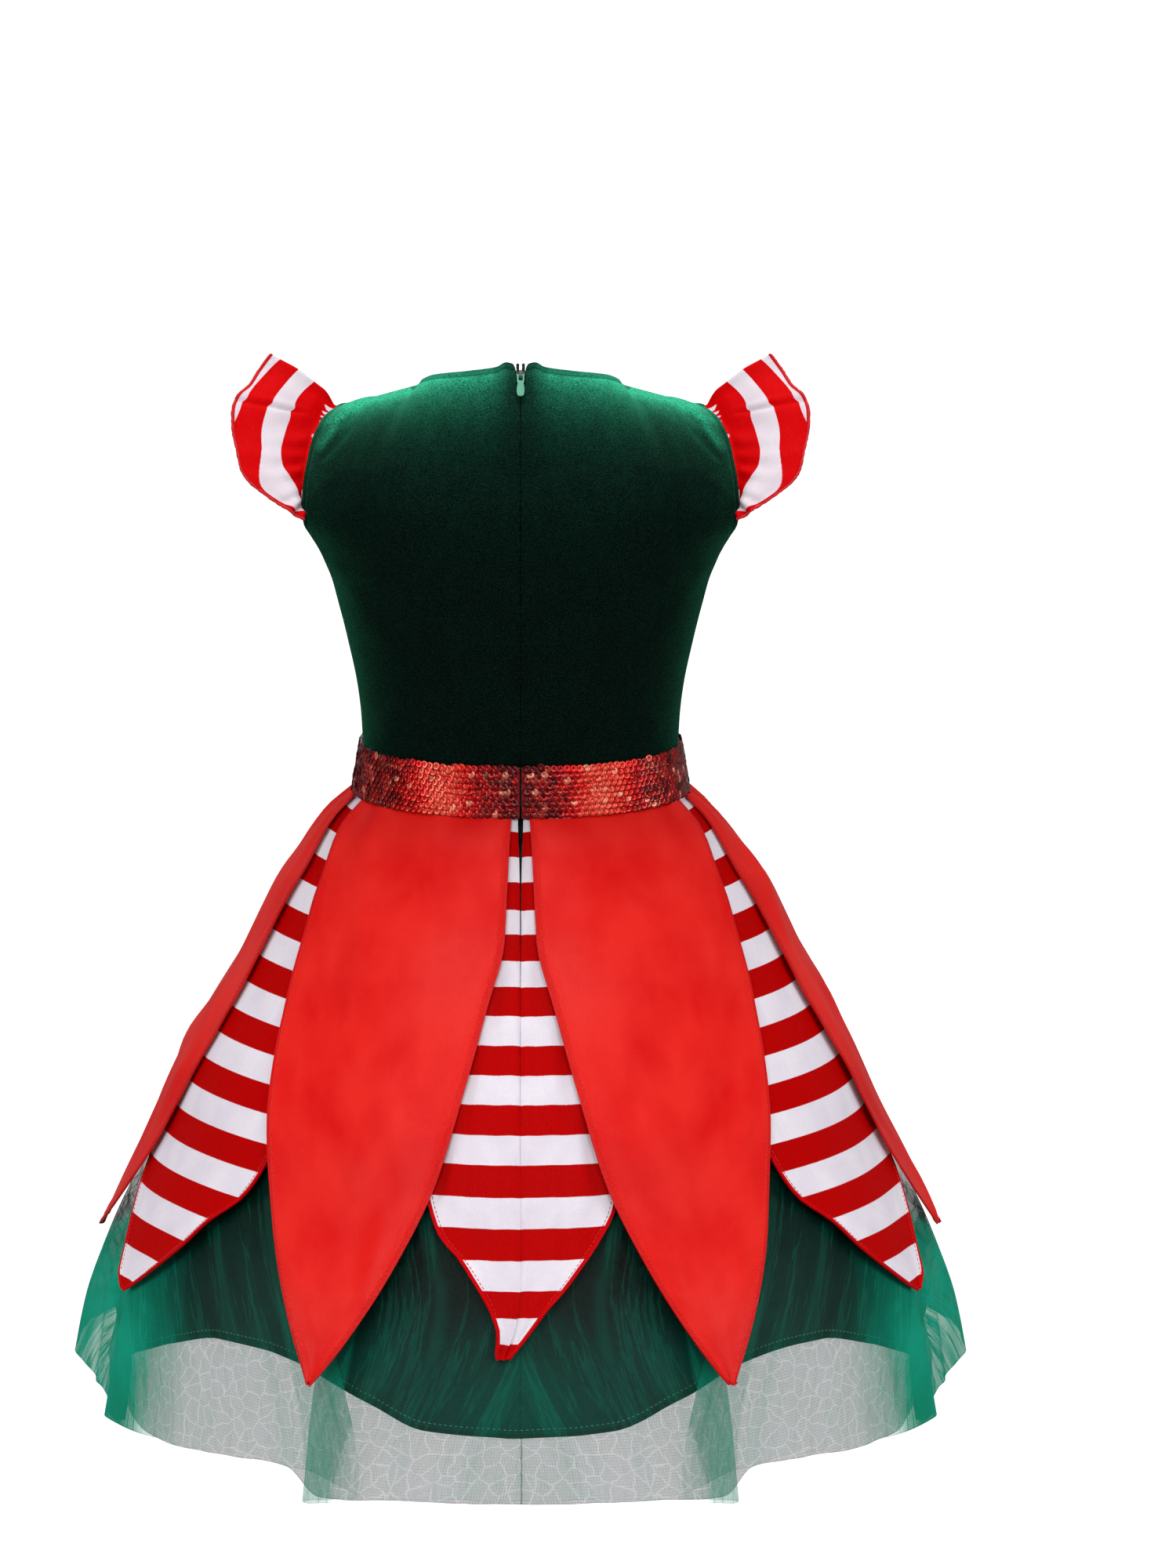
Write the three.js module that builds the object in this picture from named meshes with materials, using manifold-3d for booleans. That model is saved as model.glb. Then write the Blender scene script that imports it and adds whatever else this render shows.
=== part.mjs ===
// Elf dress: velvet bodice, frilled cap sleeves, sequinned waistband, and a skirt of petals over tulle,
// satin and net, standing open and hollow as when it is worn.
// Millimetres. +X is the wearer's right, +Y the wearer's front, +Z up. The origin is the middle of the
// neck opening, level with the side neck points, where the wearer's shoulders hold the dress.
import * as THREE from "three";
import { mergeVertices } from "three/addons/utils/BufferGeometryUtils.js";
import Module from "manifold-3d";

// ---------------------------------------------------------------- named sizes
const WAIST_LOW = -232; // bottom edge of the waistband
const BAND_HEIGHT = 28;
const WAIST_HIGH = WAIST_LOW + BAND_HEIGHT;
const UNDERARM = -98;
const NECK_HALF_WIDTH = 57;
const NECK_BACK_DEPTH = 46; // centre back of the neckline lies this far behind the shoulder seam
const NECK_FRONT_DEPTH = 74;
const NECK_FRONT_DROP = 42;
const SHOULDER_TIP_X = 104;
const SHOULDER_TIP_DROP = 12.7;
const NECK_SHARE = 0.52; // share of a panel's columns that end on the neckline, the rest end on the shoulder
const SEAM_GAP = 0.4;
const SIDE_SEAM_DEG = 0.13; // half the side seam's gap in the skirts, as an angle
const VELVET = 1.6;
const FRILL = 1.2;
const BAND = 2.0;
const SKIRT_CLOTH = 1.0;
const TAPE = 0.8;
const ZIP_FOOT = -249;
const ZIP_HEAD = 12;

const table = (columns, rows) =>
  rows.map((r) => Object.fromEntries(columns.map((c, i) => [c, r[i]])));

// Sections of the bodice, from the shoulder blades down to the waist seam.
const BODICE = table(
  ["down", "half", "back", "front", "power"],
  [
    [34, 124.0, 77.0, 76.0, 2.35],
    [50, 131.3, 82.0, 81.0, 2.35],
    [59, 132.7, 84.0, 83.0, 2.35],
    [73, 129.2, 85.0, 84.0, 2.35],
    [81, 122.0, 84.8, 84.0, 2.35],
    [89, 115.5, 84.3, 83.5, 2.35],
    [98, 111.0, 83.5, 83.0, 2.35],
    [107, 107.3, 82.5, 82.0, 2.35],
    [124, 102.8, 80.0, 80.5, 2.35],
    [142, 98.6, 78.0, 78.5, 2.3],
    [170, 93.0, 74.5, 75.0, 2.25],
    [188, 91.0, 72.5, 73.0, 2.2],
    [204, 90.2, 71.5, 72.0, 2.2],
  ],
);
// Reach of the armhole's edge behind (or before) the side, by height.
const ARMHOLE = table(
  ["down", "reach"],
  [
    [34, 30],
    [37, 32],
    [50, 39],
    [59, 41],
    [73, 38],
    [81, 31],
    [89, 20],
    [98, SEAM_GAP / 2],
  ],
);
// Height of the back neckline, with the small rounded corners beside the zip.
const NECK_BACK = table(
  ["out", "level"],
  [
    [0, 16.6],
    [4, 17.2],
    [8, 18.0],
    [13, 15.4],
    [28, 12.7],
    [47, 9.0],
    [55, 4.4],
    [57, 0.0],
  ],
);
// How far each centre back edge stays from the middle, opening round the slider.
const ZIP_SLIT = table(
  ["down", "half_gap"],
  [
    [-18, 3.5],
    [-6, 3.3],
    [0, 1.6],
    [7, 0.6],
    [204, 0.5],
  ],
);
// Half width of the skirt below the waist, measured on the petals' outside.
const FLARE = table(
  ["down", "half"],
  [
    [0, 95.4],
    [12, 109],
    [24, 118.7],
    [37, 127.8],
    [50, 137.5],
    [67, 146.8],
    [100, 163.8],
    [126, 178.9],
    [154, 194.2],
    [194, 211.7],
    [223, 226],
    [249, 238.3],
    [275, 249.5],
    [300, 259],
    [345, 269],
  ],
);
const WAIST_FLATTENING = 20; // the waist is this much shallower than it is wide
const ROUND_BELOW = 230; // the skirt is round from here down
// Outside of each layer, measured inwards from the petals' outside.
const LAYERS = table(
  ["down", "petal_red", "petal_stripe", "tulle", "satin", "net"],
  [
    [0, 0, 2.4, 4.8, 7.2, 9.6],
    [80, 0, 3.2, 6.6, 9.8, 13.0],
    [200, 0, 3.2, 7.0, 13.6, 17.2],
    [300, 0, 3.2, 7.0, 13.6, 17.2],
    [345, 0, 3.2, 7.0, 13.6, 15.6],
  ],
);
// Parting of the layers below the foot of the waistband, at the end of the zip.
const PLACKET = table(
  ["down", "half_gap"],
  [
    [0, 2.2],
    [12, 1.6],
    [24, 0.25],
    [345, 0.25],
  ],
);
// Petal outlines: the angle of each edge round the skirt from the centre back, by depth below the waist.
const PETAL_RED_BACK = table(
  ["down", "near", "far"],
  [
    [0.4, 3.0, 68],
    [16, 3.2, 65.5],
    [30, 3.3, 61.6],
    [56, 3.5, 56.5],
    [90, 6.6, 53.2],
    [128, 9.6, 48.4],
    [172, 12.8, 42.4],
    [211, 17.2, 37],
    [251, 22.5, 31],
    [268, 25.1, 28.3],
    [275.6, 26.4, 27.2],
  ],
);
const PETAL_RED_SIDE = table(
  ["down", "near", "far"],
  [
    [0.4, 77, 103],
    [20, 74, 106],
    [45, 70.5, 109.5],
    [84, 71.5, 109],
    [120, 72, 108.5],
    [163, 74, 106.5],
    [204, 77.5, 103.5],
    [235, 82, 98.5],
    [255, 86.5, 93.5],
    [263, 89.6, 90.4],
  ],
);
const PETAL_STRIPE_BACK = table(
  ["down", "left", "seam", "right"],
  [
    [0.4, -20, 0, 20],
    [60, -22, 0, 22],
    [120, -19.5, 0, 19.5],
    [160, -16.5, 0, 16.7],
    [189, -13.5, 0, 14.1],
    [199, -11.9, 0, 12.1],
    [210, -8.6, 0, 9.5],
    [224, -5.7, -0.1, 6.0],
    [234, -3.9, -0.4, 3.3],
    [244, -3.1, -1.0, 1.1],
    [253, -3.2, -2.0, -0.8],
    [256, -2.9, -2.15, -1.4],
  ],
);
const PETAL_STRIPE_SIDE = table(
  ["down", "near", "far"],
  [
    [0.4, 52, 86],
    [60, 45, 88],
    [120, 41, 88],
    [150, 41.3, 86.5],
    [172, 42.8, 84.5],
    [196, 45.8, 82],
    [216, 52, 79.5],
    [231, 55.4, 76.6],
    [251, 60.8, 72.6],
    [264, 64.7, 70.8],
    [270, 66.9, 68.1],
  ],
);
// Tulle: the cloth's way round from its place at the waist to its place at the hem. Where the hem angle
// goes back, the cloth lies in a pleat of three plies. step is how far the hem stands in from the round.
const TULLE = table(
  ["waist", "hem", "step", "level"],
  [
    [0, 0, 0, -560],
    [9, 10, -1, -561],
    [18, 20, -2, -566],
    [25, 26.6, -3, -573],
    [28, 27.3, -4.3, -573],
    [31, 26.6, -5.6, -572],
    [36, 20.8, -6.8, -568],
    [38, 20.2, -8.0, -567],
    [40, 20.8, -9.2, -566],
    [46, 27.5, -11.5, -560],
    [52, 35, -14, -559],
    [60, 46, -13, -566],
    [67, 57, -7, -571],
    [72, 65.5, -2, -573],
    [74.5, 66.6, -3.2, -573],
    [77, 65.8, -4.6, -573],
    [80, 62.8, -6.0, -572],
    [82, 62.2, -7.2, -571],
    [84, 63, -8.4, -571],
    [90, 72, -10, -570],
    [96, 81, -2, -567],
    [102, 92, 2, -566],
    [110, 104, -6, -571],
    [118, 115, -13, -568],
    [124, 123, -5, -572],
    [127, 128.2, -2, -574],
    [129.5, 129, -3.2, -574],
    [132, 128.3, -4.5, -573],
    [136, 123.6, -6, -571],
    [138, 123, -7.2, -570],
    [140, 123.7, -8.4, -570],
    [147, 134, -12, -566],
    [158, 150, -10, -563],
    [169, 166, -4, -566],
    [180, 180, -2, -562],
  ],
);
const FOLDS_FROM = 150; // depth where the folds of tulle, satin and net begin
const FOLDS_FULL = 330; // and where they are as deep as the tables say
// Satin and net: how far the hem stands in from the round, and its height, round the skirt.
const SATIN = table(
  ["phi", "step", "level"],
  [
    [0, 0, -530],
    [12, -1, -528.5],
    [20, -5, -519.5],
    [26, -9, -513.5],
    [31, -12, -508.5],
    [38, -13, -506.5],
    [47, -12, -508.5],
    [56, -8, -520],
    [64, -6, -535],
    [70, -8, -545],
    [78, -10, -541],
    [88, -6, -530],
    [100, -5, -526],
    [112, -11, -520],
    [122, -10, -528],
    [135, -14, -530],
    [150, -12, -522],
    [165, -7, -526],
    [180, -4, -530],
  ],
);
const NET = table(
  ["phi", "step", "level"],
  [
    [0, -1, -565.5],
    [10, -3, -567],
    [18, -9, -571],
    [27, -12, -576],
    [33, -14.5, -565],
    [42, -15, -569],
    [52, -12.5, -575],
    [61, -10, -577.5],
    [70, -13, -577],
    [80, -11, -576],
    [92, -8, -573],
    [103, -9, -575],
    [114, -15, -575],
    [124, -12, -577],
    [134, -16, -573],
    [148, -14.5, -568.5],
    [165, -9.5, -571],
    [180, -6, -569],
  ],
);
const SKIRT_ROWS = [0.4, 12, 34, 72, 125, 190]; // shared by every layer, so that they stay clear
const HEM_SHARE = [0.5, 1]; // rows between the last of those and the hem

// Cap sleeve: a crescent frill from the back of the armhole over the shoulder tip. up is the place on the
// armhole (see bodice), and the rest is its hem; the front half mirrors it.
const FRILL_HEM = table(
  ["up", "x", "y", "z"],
  [
    [0.585, 121.5, -42, -80],
    [0.6, 129, -48, -74],
    [0.625, 140, -52, -64.5],
    [0.66, 151, -53, -53],
    [0.7, 158, -50, -35.5],
    [0.75, 161, -44, -19],
    [0.83, 160, -34, -4],
    [0.91, 154, -22, 7],
    [0.96, 149, -11, 14],
    [1.0, 143, 0, 17],
  ],
);
const FRILL_BULGE = 3;
const FRILL_WAVE = 1.6;

// Slider and pull tab, in the slope of the zip.
const SLIDER_LEVEL = 10.5;
const SLIDER = { half_width: 2.5, half_length: 4.6, depth_in: 1.7, depth_out: 0.5 };
const ARCH = { half_width: 0.7, half_length: 2.6, post: 0.9, rise: 3.5, head: 0.8 };
const PULL = { axis_out: 1.6, bar: 0.5, arm_in: 1.1, arm_out: 2.0, window: 3.7, length: 14.2, thick: 1.0 };

// ---------------------------------------------------------------- curves
const rad = THREE.MathUtils.degToRad;
const clamp = THREE.MathUtils.clamp;
const lerp = THREE.MathUtils.lerp;
const smooth = (v) => THREE.MathUtils.smoothstep(v, 0, 1);

// A smooth curve through one column of a table that never overshoots its rows.
function curve(rows, key, column) {
  const x = rows.map((r) => r[key]);
  const y = rows.map((r) => r[column]);
  const last = x.length - 1;
  const d = x.slice(1).map((v, i) => (y[i + 1] - y[i]) / (v - x[i]));
  const m = x.map((_, i) => {
    if (i === 0) return d[0];
    if (i === last) return d[last - 1];
    return d[i - 1] * d[i] <= 0 ? 0 : (2 * d[i - 1] * d[i]) / (d[i - 1] + d[i]);
  });
  return (v) => {
    if (v <= x[0]) return y[0];
    if (v >= x[last]) return y[last];
    let i = 0;
    while (v > x[i + 1]) i++;
    const h = x[i + 1] - x[i];
    const s = (v - x[i]) / h;
    const s2 = s * s;
    const s3 = s2 * s;
    return (
      (2 * s3 - 3 * s2 + 1) * y[i] +
      (s3 - 2 * s2 + s) * h * m[i] +
      (3 * s2 - 2 * s3) * y[i + 1] +
      (s3 - s2) * h * m[i + 1]
    );
  };
}

const sectionHalf = curve(BODICE, "down", "half");
const sectionBack = curve(BODICE, "down", "back");
const sectionFront = curve(BODICE, "down", "front");
const sectionPower = curve(BODICE, "down", "power");
const armholeReach = curve(ARMHOLE, "down", "reach");
const neckBackLevel = curve(NECK_BACK, "out", "level");
const zipSlit = curve(ZIP_SLIT, "down", "half_gap");
const flare = curve(FLARE, "down", "half");
const placket = curve(PLACKET, "down", "half_gap");
const layerIn = Object.fromEntries(
  ["petal_red", "petal_stripe", "tulle", "satin", "net"].map((name) => [
    name,
    curve(LAYERS, "down", name),
  ]),
);

// ---------------------------------------------------------------- bodice
// A point of the bodice's outside. face is -1 on the back and 1 on the front, u runs from the centre (0)
// to the side seam and armhole (1), up from the waist (0) over the underarm (0.5) to the neck and shoulder (1).
function section(face, share, depth, end) {
  const half = sectionHalf(depth);
  const deep = face < 0 ? sectionBack(depth) : sectionFront(depth);
  const power = sectionPower(depth);
  const reach = depth >= -UNDERARM ? SEAM_GAP / 2 : end;
  const edge = Math.acos(Math.pow(clamp(reach / deep, 0, 1), power / 2));
  const phi = edge * share;
  return new THREE.Vector3(
    half * Math.pow(Math.sin(phi), 2 / power),
    face * deep * Math.pow(Math.cos(phi), 2 / power),
    -depth,
  );
}
function topEdge(face, u) {
  if (u <= NECK_SHARE) {
    const theta = (u / NECK_SHARE) * (Math.PI / 2);
    const x = NECK_HALF_WIDTH * Math.sin(theta);
    if (face < 0)
      return new THREE.Vector3(
        x,
        -Math.max(NECK_BACK_DEPTH * Math.cos(theta), SEAM_GAP / 2),
        neckBackLevel(x),
      );
    return new THREE.Vector3(
      x,
      Math.max(NECK_FRONT_DEPTH * Math.pow(Math.cos(theta), 0.95), SEAM_GAP / 2),
      -NECK_FRONT_DROP * Math.cos(theta) ** 2,
    );
  }
  const s = (u - NECK_SHARE) / (1 - NECK_SHARE);
  return new THREE.Vector3(
    lerp(NECK_HALF_WIDTH, SHOULDER_TIP_X, s),
    (face * SEAM_GAP) / 2,
    -SHOULDER_TIP_DROP * s,
  );
}
function yokeLevel(face, u) {
  // the last level section, below the roll of the shoulder
  const drop = face < 0 ? 50 : 18;
  const shoulder = 40;
  const tip = 24.3;
  const fall =
    u < NECK_SHARE ? lerp(drop, shoulder, smooth(u / NECK_SHARE)) : lerp(shoulder, tip, (u - NECK_SHARE) / (1 - NECK_SHARE));
  return topEdge(face, u).z - fall;
}
function bodice(face, u, up) {
  let p;
  if (up <= 0.5) {
    p = section(face, u, lerp(-WAIST_HIGH - SEAM_GAP / 2, -UNDERARM, up * 2), 0);
  } else {
    const g = Math.min(1, (up - 0.5) * 4);
    const depth = -lerp(UNDERARM, yokeLevel(face, u), g);
    const endDepth = -lerp(UNDERARM, yokeLevel(face, 1), g);
    p = section(face, u, Math.min(depth, -UNDERARM - 0.001), armholeReach(endDepth));
    if (up > 0.75) {
      const w = (up - 0.75) * 4;
      const top = topEdge(face, u);
      const bend = new THREE.Vector3(
        p.x + 0.18 * (top.x - p.x),
        p.y + lerp(0.15, 0.5, u) * (top.y - p.y),
        top.z - lerp(0.45, 0.18, u) * (top.z - p.z),
      );
      p = p
        .multiplyScalar((1 - w) ** 2)
        .addScaledVector(bend, 2 * w * (1 - w))
        .addScaledVector(top, w * w);
    }
  }
  return p;
}
function bodicePoint(face, side, u, up) {
  const p = bodice(face, u, up);
  if (face < 0 && side) p.x = Math.max(p.x, zipSlit(-p.z));
  p.x *= side || 1;
  return p;
}

// ---------------------------------------------------------------- waistband
function band(face, side, u, fall) {
  const half = lerp(91.6, 96.4, fall);
  const deep = lerp(73, 76.4, fall);
  const power = lerp(2.2, 2.05, fall);
  const edge = Math.acos(Math.pow(SEAM_GAP / 2 / deep, power / 2));
  const phi = edge * u;
  const x = half * Math.pow(Math.sin(phi), 2 / power);
  return new THREE.Vector3(
    side * (face < 0 ? Math.max(x, 0.6) : x),
    face * deep * Math.pow(Math.cos(phi), 2 / power),
    lerp(WAIST_HIGH - SEAM_GAP / 2, WAIST_LOW, fall),
  );
}

// ---------------------------------------------------------------- skirt
// A point of the skirt at an angle from the centre back (positive to +X), a depth below the waistband, a
// distance outwards from the petals' outside, and a step that the folds add.
function skirt(phi, down, outward, step = 0) {
  const half = flare(down) + outward + step;
  const deep = half - WAIST_FLATTENING * clamp(1 - down / ROUND_BELOW, 0, 1);
  return new THREE.Vector3(half * Math.sin(rad(phi)), -deep * Math.cos(rad(phi)), WAIST_LOW - down);
}
const placketAngle = (down, inward) =>
  THREE.MathUtils.radToDeg(Math.asin(placket(down) / (flare(down) - inward)));

// ---------------------------------------------------------------- closed walls
// A wall of even thickness on a grid of points, rows by columns. lie is where the grid lies in it: 0 for
// the outside, 0.5 for the middle. turn is 1 where row to row, then column to column, faces outwards.
// face keeps a panel behind or before the side seams, side keeps it on its own side of the middle. before
// and after are columns of the neighbouring panels, which only steer the thickness at the seam.
function wall(grid, thick, { lie = 0, turn = 1, face = 0, side = 0, before, after } = {}) {
  const rows = grid.length;
  const cols = grid[0].length;
  const at = (r, c) => {
    const row = clamp(r, 0, rows - 1);
    if (c < 0 && before) return before[row];
    if (c >= cols && after) return after[row];
    return grid[row][clamp(c, 0, cols - 1)];
  };
  const positions = [];
  for (const share of [lie, lie - 1]) {
    for (let r = 0; r < rows; r++)
      for (let c = 0; c < cols; c++) {
        const across = at(r, c + 1).clone().sub(at(r, c - 1));
        const along = at(r + 1, c).clone().sub(at(r - 1, c));
        const n = along.cross(across).normalize().multiplyScalar(turn);
        const p = grid[r][c].clone().addScaledVector(n, thick * share);
        if (face) p.y = face * Math.max(face * p.y, SEAM_GAP / 2);
        if (side) p.x = side * Math.max(side * p.x, SEAM_GAP / 2);
        positions.push(p.x, p.y, p.z);
      }
  }
  const out = (r, c) => r * cols + c;
  const inn = (r, c) => rows * cols + r * cols + c;
  const index = [];
  const quad = (a, b, c, d) => (turn > 0 ? index.push(a, b, c, a, c, d) : index.push(a, c, b, a, d, c));
  for (let r = 0; r < rows - 1; r++)
    for (let c = 0; c < cols - 1; c++) {
      quad(out(r, c), out(r + 1, c), out(r + 1, c + 1), out(r, c + 1));
      quad(inn(r, c), inn(r, c + 1), inn(r + 1, c + 1), inn(r + 1, c));
    }
  for (let c = 0; c < cols - 1; c++) {
    quad(out(0, c), out(0, c + 1), inn(0, c + 1), inn(0, c));
    quad(out(rows - 1, c + 1), out(rows - 1, c), inn(rows - 1, c), inn(rows - 1, c + 1));
  }
  for (let r = 0; r < rows - 1; r++) {
    quad(out(r + 1, 0), out(r, 0), inn(r, 0), inn(r + 1, 0));
    quad(out(r, cols - 1), out(r + 1, cols - 1), inn(r + 1, cols - 1), inn(r, cols - 1));
  }
  const g = new THREE.BufferGeometry();
  g.setAttribute("position", new THREE.Float32BufferAttribute(positions, 3));
  g.setIndex(index);
  g.computeVertexNormals();
  return g;
}

// ---------------------------------------------------------------- materials
const finish = (color, roughness, metalness = 0) =>
  new THREE.MeshStandardMaterial({ color, roughness, metalness, flatShading: true, side: THREE.DoubleSide });
const velvet = () => finish(0x0d4a30, 0.8);
const redSatin = () => finish(0xe0281f, 0.4);
const stripedSatin = () => finish(0xe58a8c, 0.42);
const sequins = () => finish(0xb3261a, 0.25, 0.4);
const tulleNet = () => finish(0x3f9c78, 0.75);
const greenSatin = () => finish(0x0d4f3c, 0.45);
const greyNet = () => finish(0xb4b0b6, 0.8);
const zipCloth = () => finish(0x0b3a29, 0.85);
const zipPaint = () => finish(0x3fae84, 0.4, 0.1);

const dress = new THREE.Group();
function add(name, geometry, material) {
  const mesh = new THREE.Mesh(geometry, material);
  mesh.name = name;
  dress.add(mesh);
  return mesh;
}

// ---------------------------------------------------------------- bodice panels
const BODICE_UP = [0, 0.16, 0.32, 0.5, 0.585, 0.67, 0.75, 0.84, 0.92, 1];
const PANEL_U = [0, 0.045, 0.12, 0.25, 0.38, NECK_SHARE, 0.68, 0.84, 1];
const FRONT_U = [0, 0.13, 0.26, 0.39, NECK_SHARE, 0.68, 0.84, 1];
for (const [name, side] of [
  ["bodice_back_left", -1],
  ["bodice_back_right", 1],
])
  add(
    name,
    wall(
      BODICE_UP.map((up) => PANEL_U.map((u) => bodicePoint(-1, side, u, up))),
      VELVET,
      { turn: -side, face: -1, side },
    ),
    velvet(),
  );
const frontColumns = [...FRONT_U.slice(1).reverse().map((u) => [u, -1]), ...FRONT_U.map((u) => [u, 1])];
add(
  "bodice_front",
  wall(
    BODICE_UP.map((up) => frontColumns.map(([u, side]) => bodicePoint(1, side, u, up))),
    VELVET,
    { face: 1 },
  ),
  velvet(),
);

// ---------------------------------------------------------------- waistband panels
const BAND_U = [0, 0.14, 0.28, 0.42, 0.56, 0.7, 0.85, 1];
for (const [name, side] of [
  ["waistband_back_left", -1],
  ["waistband_back_right", 1],
])
  add(
    name,
    wall(
      [0, 1].map((fall) => BAND_U.map((u) => band(-1, side, u, fall))),
      BAND,
      { turn: side, face: -1, side },
    ),
    sequins(),
  );
const bandFront = [...BAND_U.slice(1).reverse().map((u) => [u, -1]), ...BAND_U.map((u) => [u, 1])];
add(
  "waistband_front",
  wall(
    [0, 1].map((fall) => bandFront.map(([u, side]) => band(1, side, u, fall))),
    BAND,
    { turn: -1, face: 1 },
  ),
  sequins(),
);

// ---------------------------------------------------------------- cap sleeves
const frillHem = Object.fromEntries(["x", "y", "z"].map((c) => [c, curve(FRILL_HEM, "up", c)]));
function frill(side, s, v) {
  // s runs from the back end (0) over the shoulder tip (0.5) to the front end (1), v from the seam out
  const face = s <= 0.5 ? -1 : 1;
  const half = s <= 0.5 ? s * 2 : (1 - s) * 2;
  const first = FRILL_HEM[0].up;
  const up = first + (1 - first) * Math.pow(half, 1.25);
  const edge = bodice(face, 1, up);
  const before = bodice(face, 0.97, up);
  const away = edge.clone().sub(before).normalize();
  const seam = edge.clone().addScaledVector(away, SEAM_GAP + FRILL / 2 + 0.3);
  const hem = new THREE.Vector3(frillHem.x(up), -face * frillHem.y(up), frillHem.z(up));
  const p = seam.clone().lerp(hem, v);
  const waves = Math.sin(s * Math.PI * 12) * FRILL_WAVE * v * Math.sin(Math.PI * clamp(s, 0, 1));
  const lift = new THREE.Vector3(0.35, 0, 0.94);
  p.addScaledVector(lift, FRILL_BULGE * Math.sin(Math.PI * v) * Math.sin(Math.PI * s) + waves);
  p.x *= side;
  return p;
}
const FRILL_S = Array.from({ length: 21 }, (_, i) => i / 20);
for (const [name, side] of [
  ["sleeve_left", -1],
  ["sleeve_right", 1],
])
  add(
    name,
    wall(
      [0, 0.35, 0.7, 1].map((v) => FRILL_S.map((s) => frill(side, s, v))),
      FRILL,
      { lie: 0.5, turn: side },
    ),
    stripedSatin(),
  );

// ---------------------------------------------------------------- petals
function petal(rows, layer, columns, from, to) {
  const near = curve(rows, "down", from);
  const far = curve(rows, "down", to);
  const tip = rows[rows.length - 1].down;
  const downs = [...SKIRT_ROWS.filter((d) => d < tip - 30), tip - 52, tip - 25, tip - 9, tip];
  return downs.map((down) =>
    Array.from({ length: columns + 1 }, (_, i) =>
      skirt(lerp(near(down), far(down), i / columns), down, -layerIn[layer](down)),
    ),
  );
}
const turned = (rows, by) =>
  rows.map((r) => ({ down: r.down, near: by(r.near), far: by(r.far) }));
const RED = [
  ["petal_red_back", PETAL_RED_BACK],
  ["petal_red_side", PETAL_RED_SIDE],
  ["petal_red_front", turned(PETAL_RED_BACK, (phi) => 180 - phi)],
];
const STRIPED = [
  ["petal_stripe_side", PETAL_STRIPE_SIDE],
  ["petal_stripe_front", turned(PETAL_STRIPE_SIDE, (phi) => 180 - phi)],
];
for (const [word, side] of [
  ["_left", -1],
  ["_right", 1],
]) {
  for (const [name, rows] of RED) {
    const sided = turned(rows, (phi) => side * phi);
    const turn = Math.sign(sided[0].far - sided[0].near);
    add(name + word, wall(petal(sided, "petal_red", 5, "near", "far"), SKIRT_CLOTH, { turn }), redSatin());
  }
  for (const [name, rows] of STRIPED) {
    const sided = turned(rows, (phi) => side * phi);
    const turn = Math.sign(sided[0].far - sided[0].near);
    add(name + word, wall(petal(sided, "petal_stripe", 4, "near", "far"), SKIRT_CLOTH, { turn }), stripedSatin());
  }
}
// The centre back petal is two halves, seamed below the zip.
const halfOf = (side) =>
  PETAL_STRIPE_BACK.map((r) => ({
    down: r.down,
    near: r.seam + side * placketAngle(r.down, 3.2),
    far: side < 0 ? r.left : r.right,
  }));
const gapRows = (side) => {
  const seam = curve(PETAL_STRIPE_BACK, "down", "seam");
  const edge = curve(PETAL_STRIPE_BACK, "down", side < 0 ? "left" : "right");
  return [...new Set([...SKIRT_ROWS, 24, 230, 246, 256])]
    .sort((a, b) => a - b)
    .map((down) => ({ down, near: seam(down) + side * placketAngle(down, 3.2), far: edge(down) }));
};
for (const [word, side] of [
  ["left", -1],
  ["right", 1],
]) {
  const rows = gapRows(side);
  const grid = rows.map(({ down, near, far }) =>
    Array.from({ length: 4 }, (_, i) => skirt(lerp(near, far, i / 3), down, -layerIn.petal_stripe(down))),
  );
  add(`petal_stripe_back_${word}_half`, wall(grid, SKIRT_CLOTH, { turn: side }), stripedSatin());
}
const frontRows = PETAL_STRIPE_BACK.map((r) => ({
  down: r.down,
  near: 180 - (r.right - r.left) / 2,
  far: 180 + (r.right - r.left) / 2,
}));
add(
  "petal_stripe_front",
  wall(petal(frontRows, "petal_stripe", 4, "near", "far"), SKIRT_CLOTH),
  stripedSatin(),
);

// ---------------------------------------------------------------- satin and net
const foldDepth = (down) => smooth((down - FOLDS_FROM) / (FOLDS_FULL - FOLDS_FROM));
function layerPanel(layer, rows, from, to, columns) {
  const step = curve(rows, "phi", "step");
  const level = curve(rows, "phi", "level");
  const lastRow = SKIRT_ROWS[SKIRT_ROWS.length - 1];
  const grid = [];
  const place = (c) => from + ((to - from) * c) / columns;
  for (let r = 0; r < SKIRT_ROWS.length + HEM_SHARE.length; r++) {
    grid.push(
      Array.from({ length: columns + 1 }, (_, c) => {
        let phi = place(c);
        const round = phi > 180 ? 360 - phi : Math.abs(phi);
        const hem = WAIST_LOW - level(round);
        const down = r < SKIRT_ROWS.length ? SKIRT_ROWS[r] : lerp(lastRow, hem, HEM_SHARE[r - SKIRT_ROWS.length]);
        const w = foldDepth(down);
        const inward = layerIn[layer](down);
        if (phi === 0) phi = Math.sign(to || 1) * placketAngle(down, inward);
        return skirt(phi, down, -inward - SKIRT_CLOTH / 2, w * step(round));
      }),
    );
  }
  return grid;
}
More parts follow.
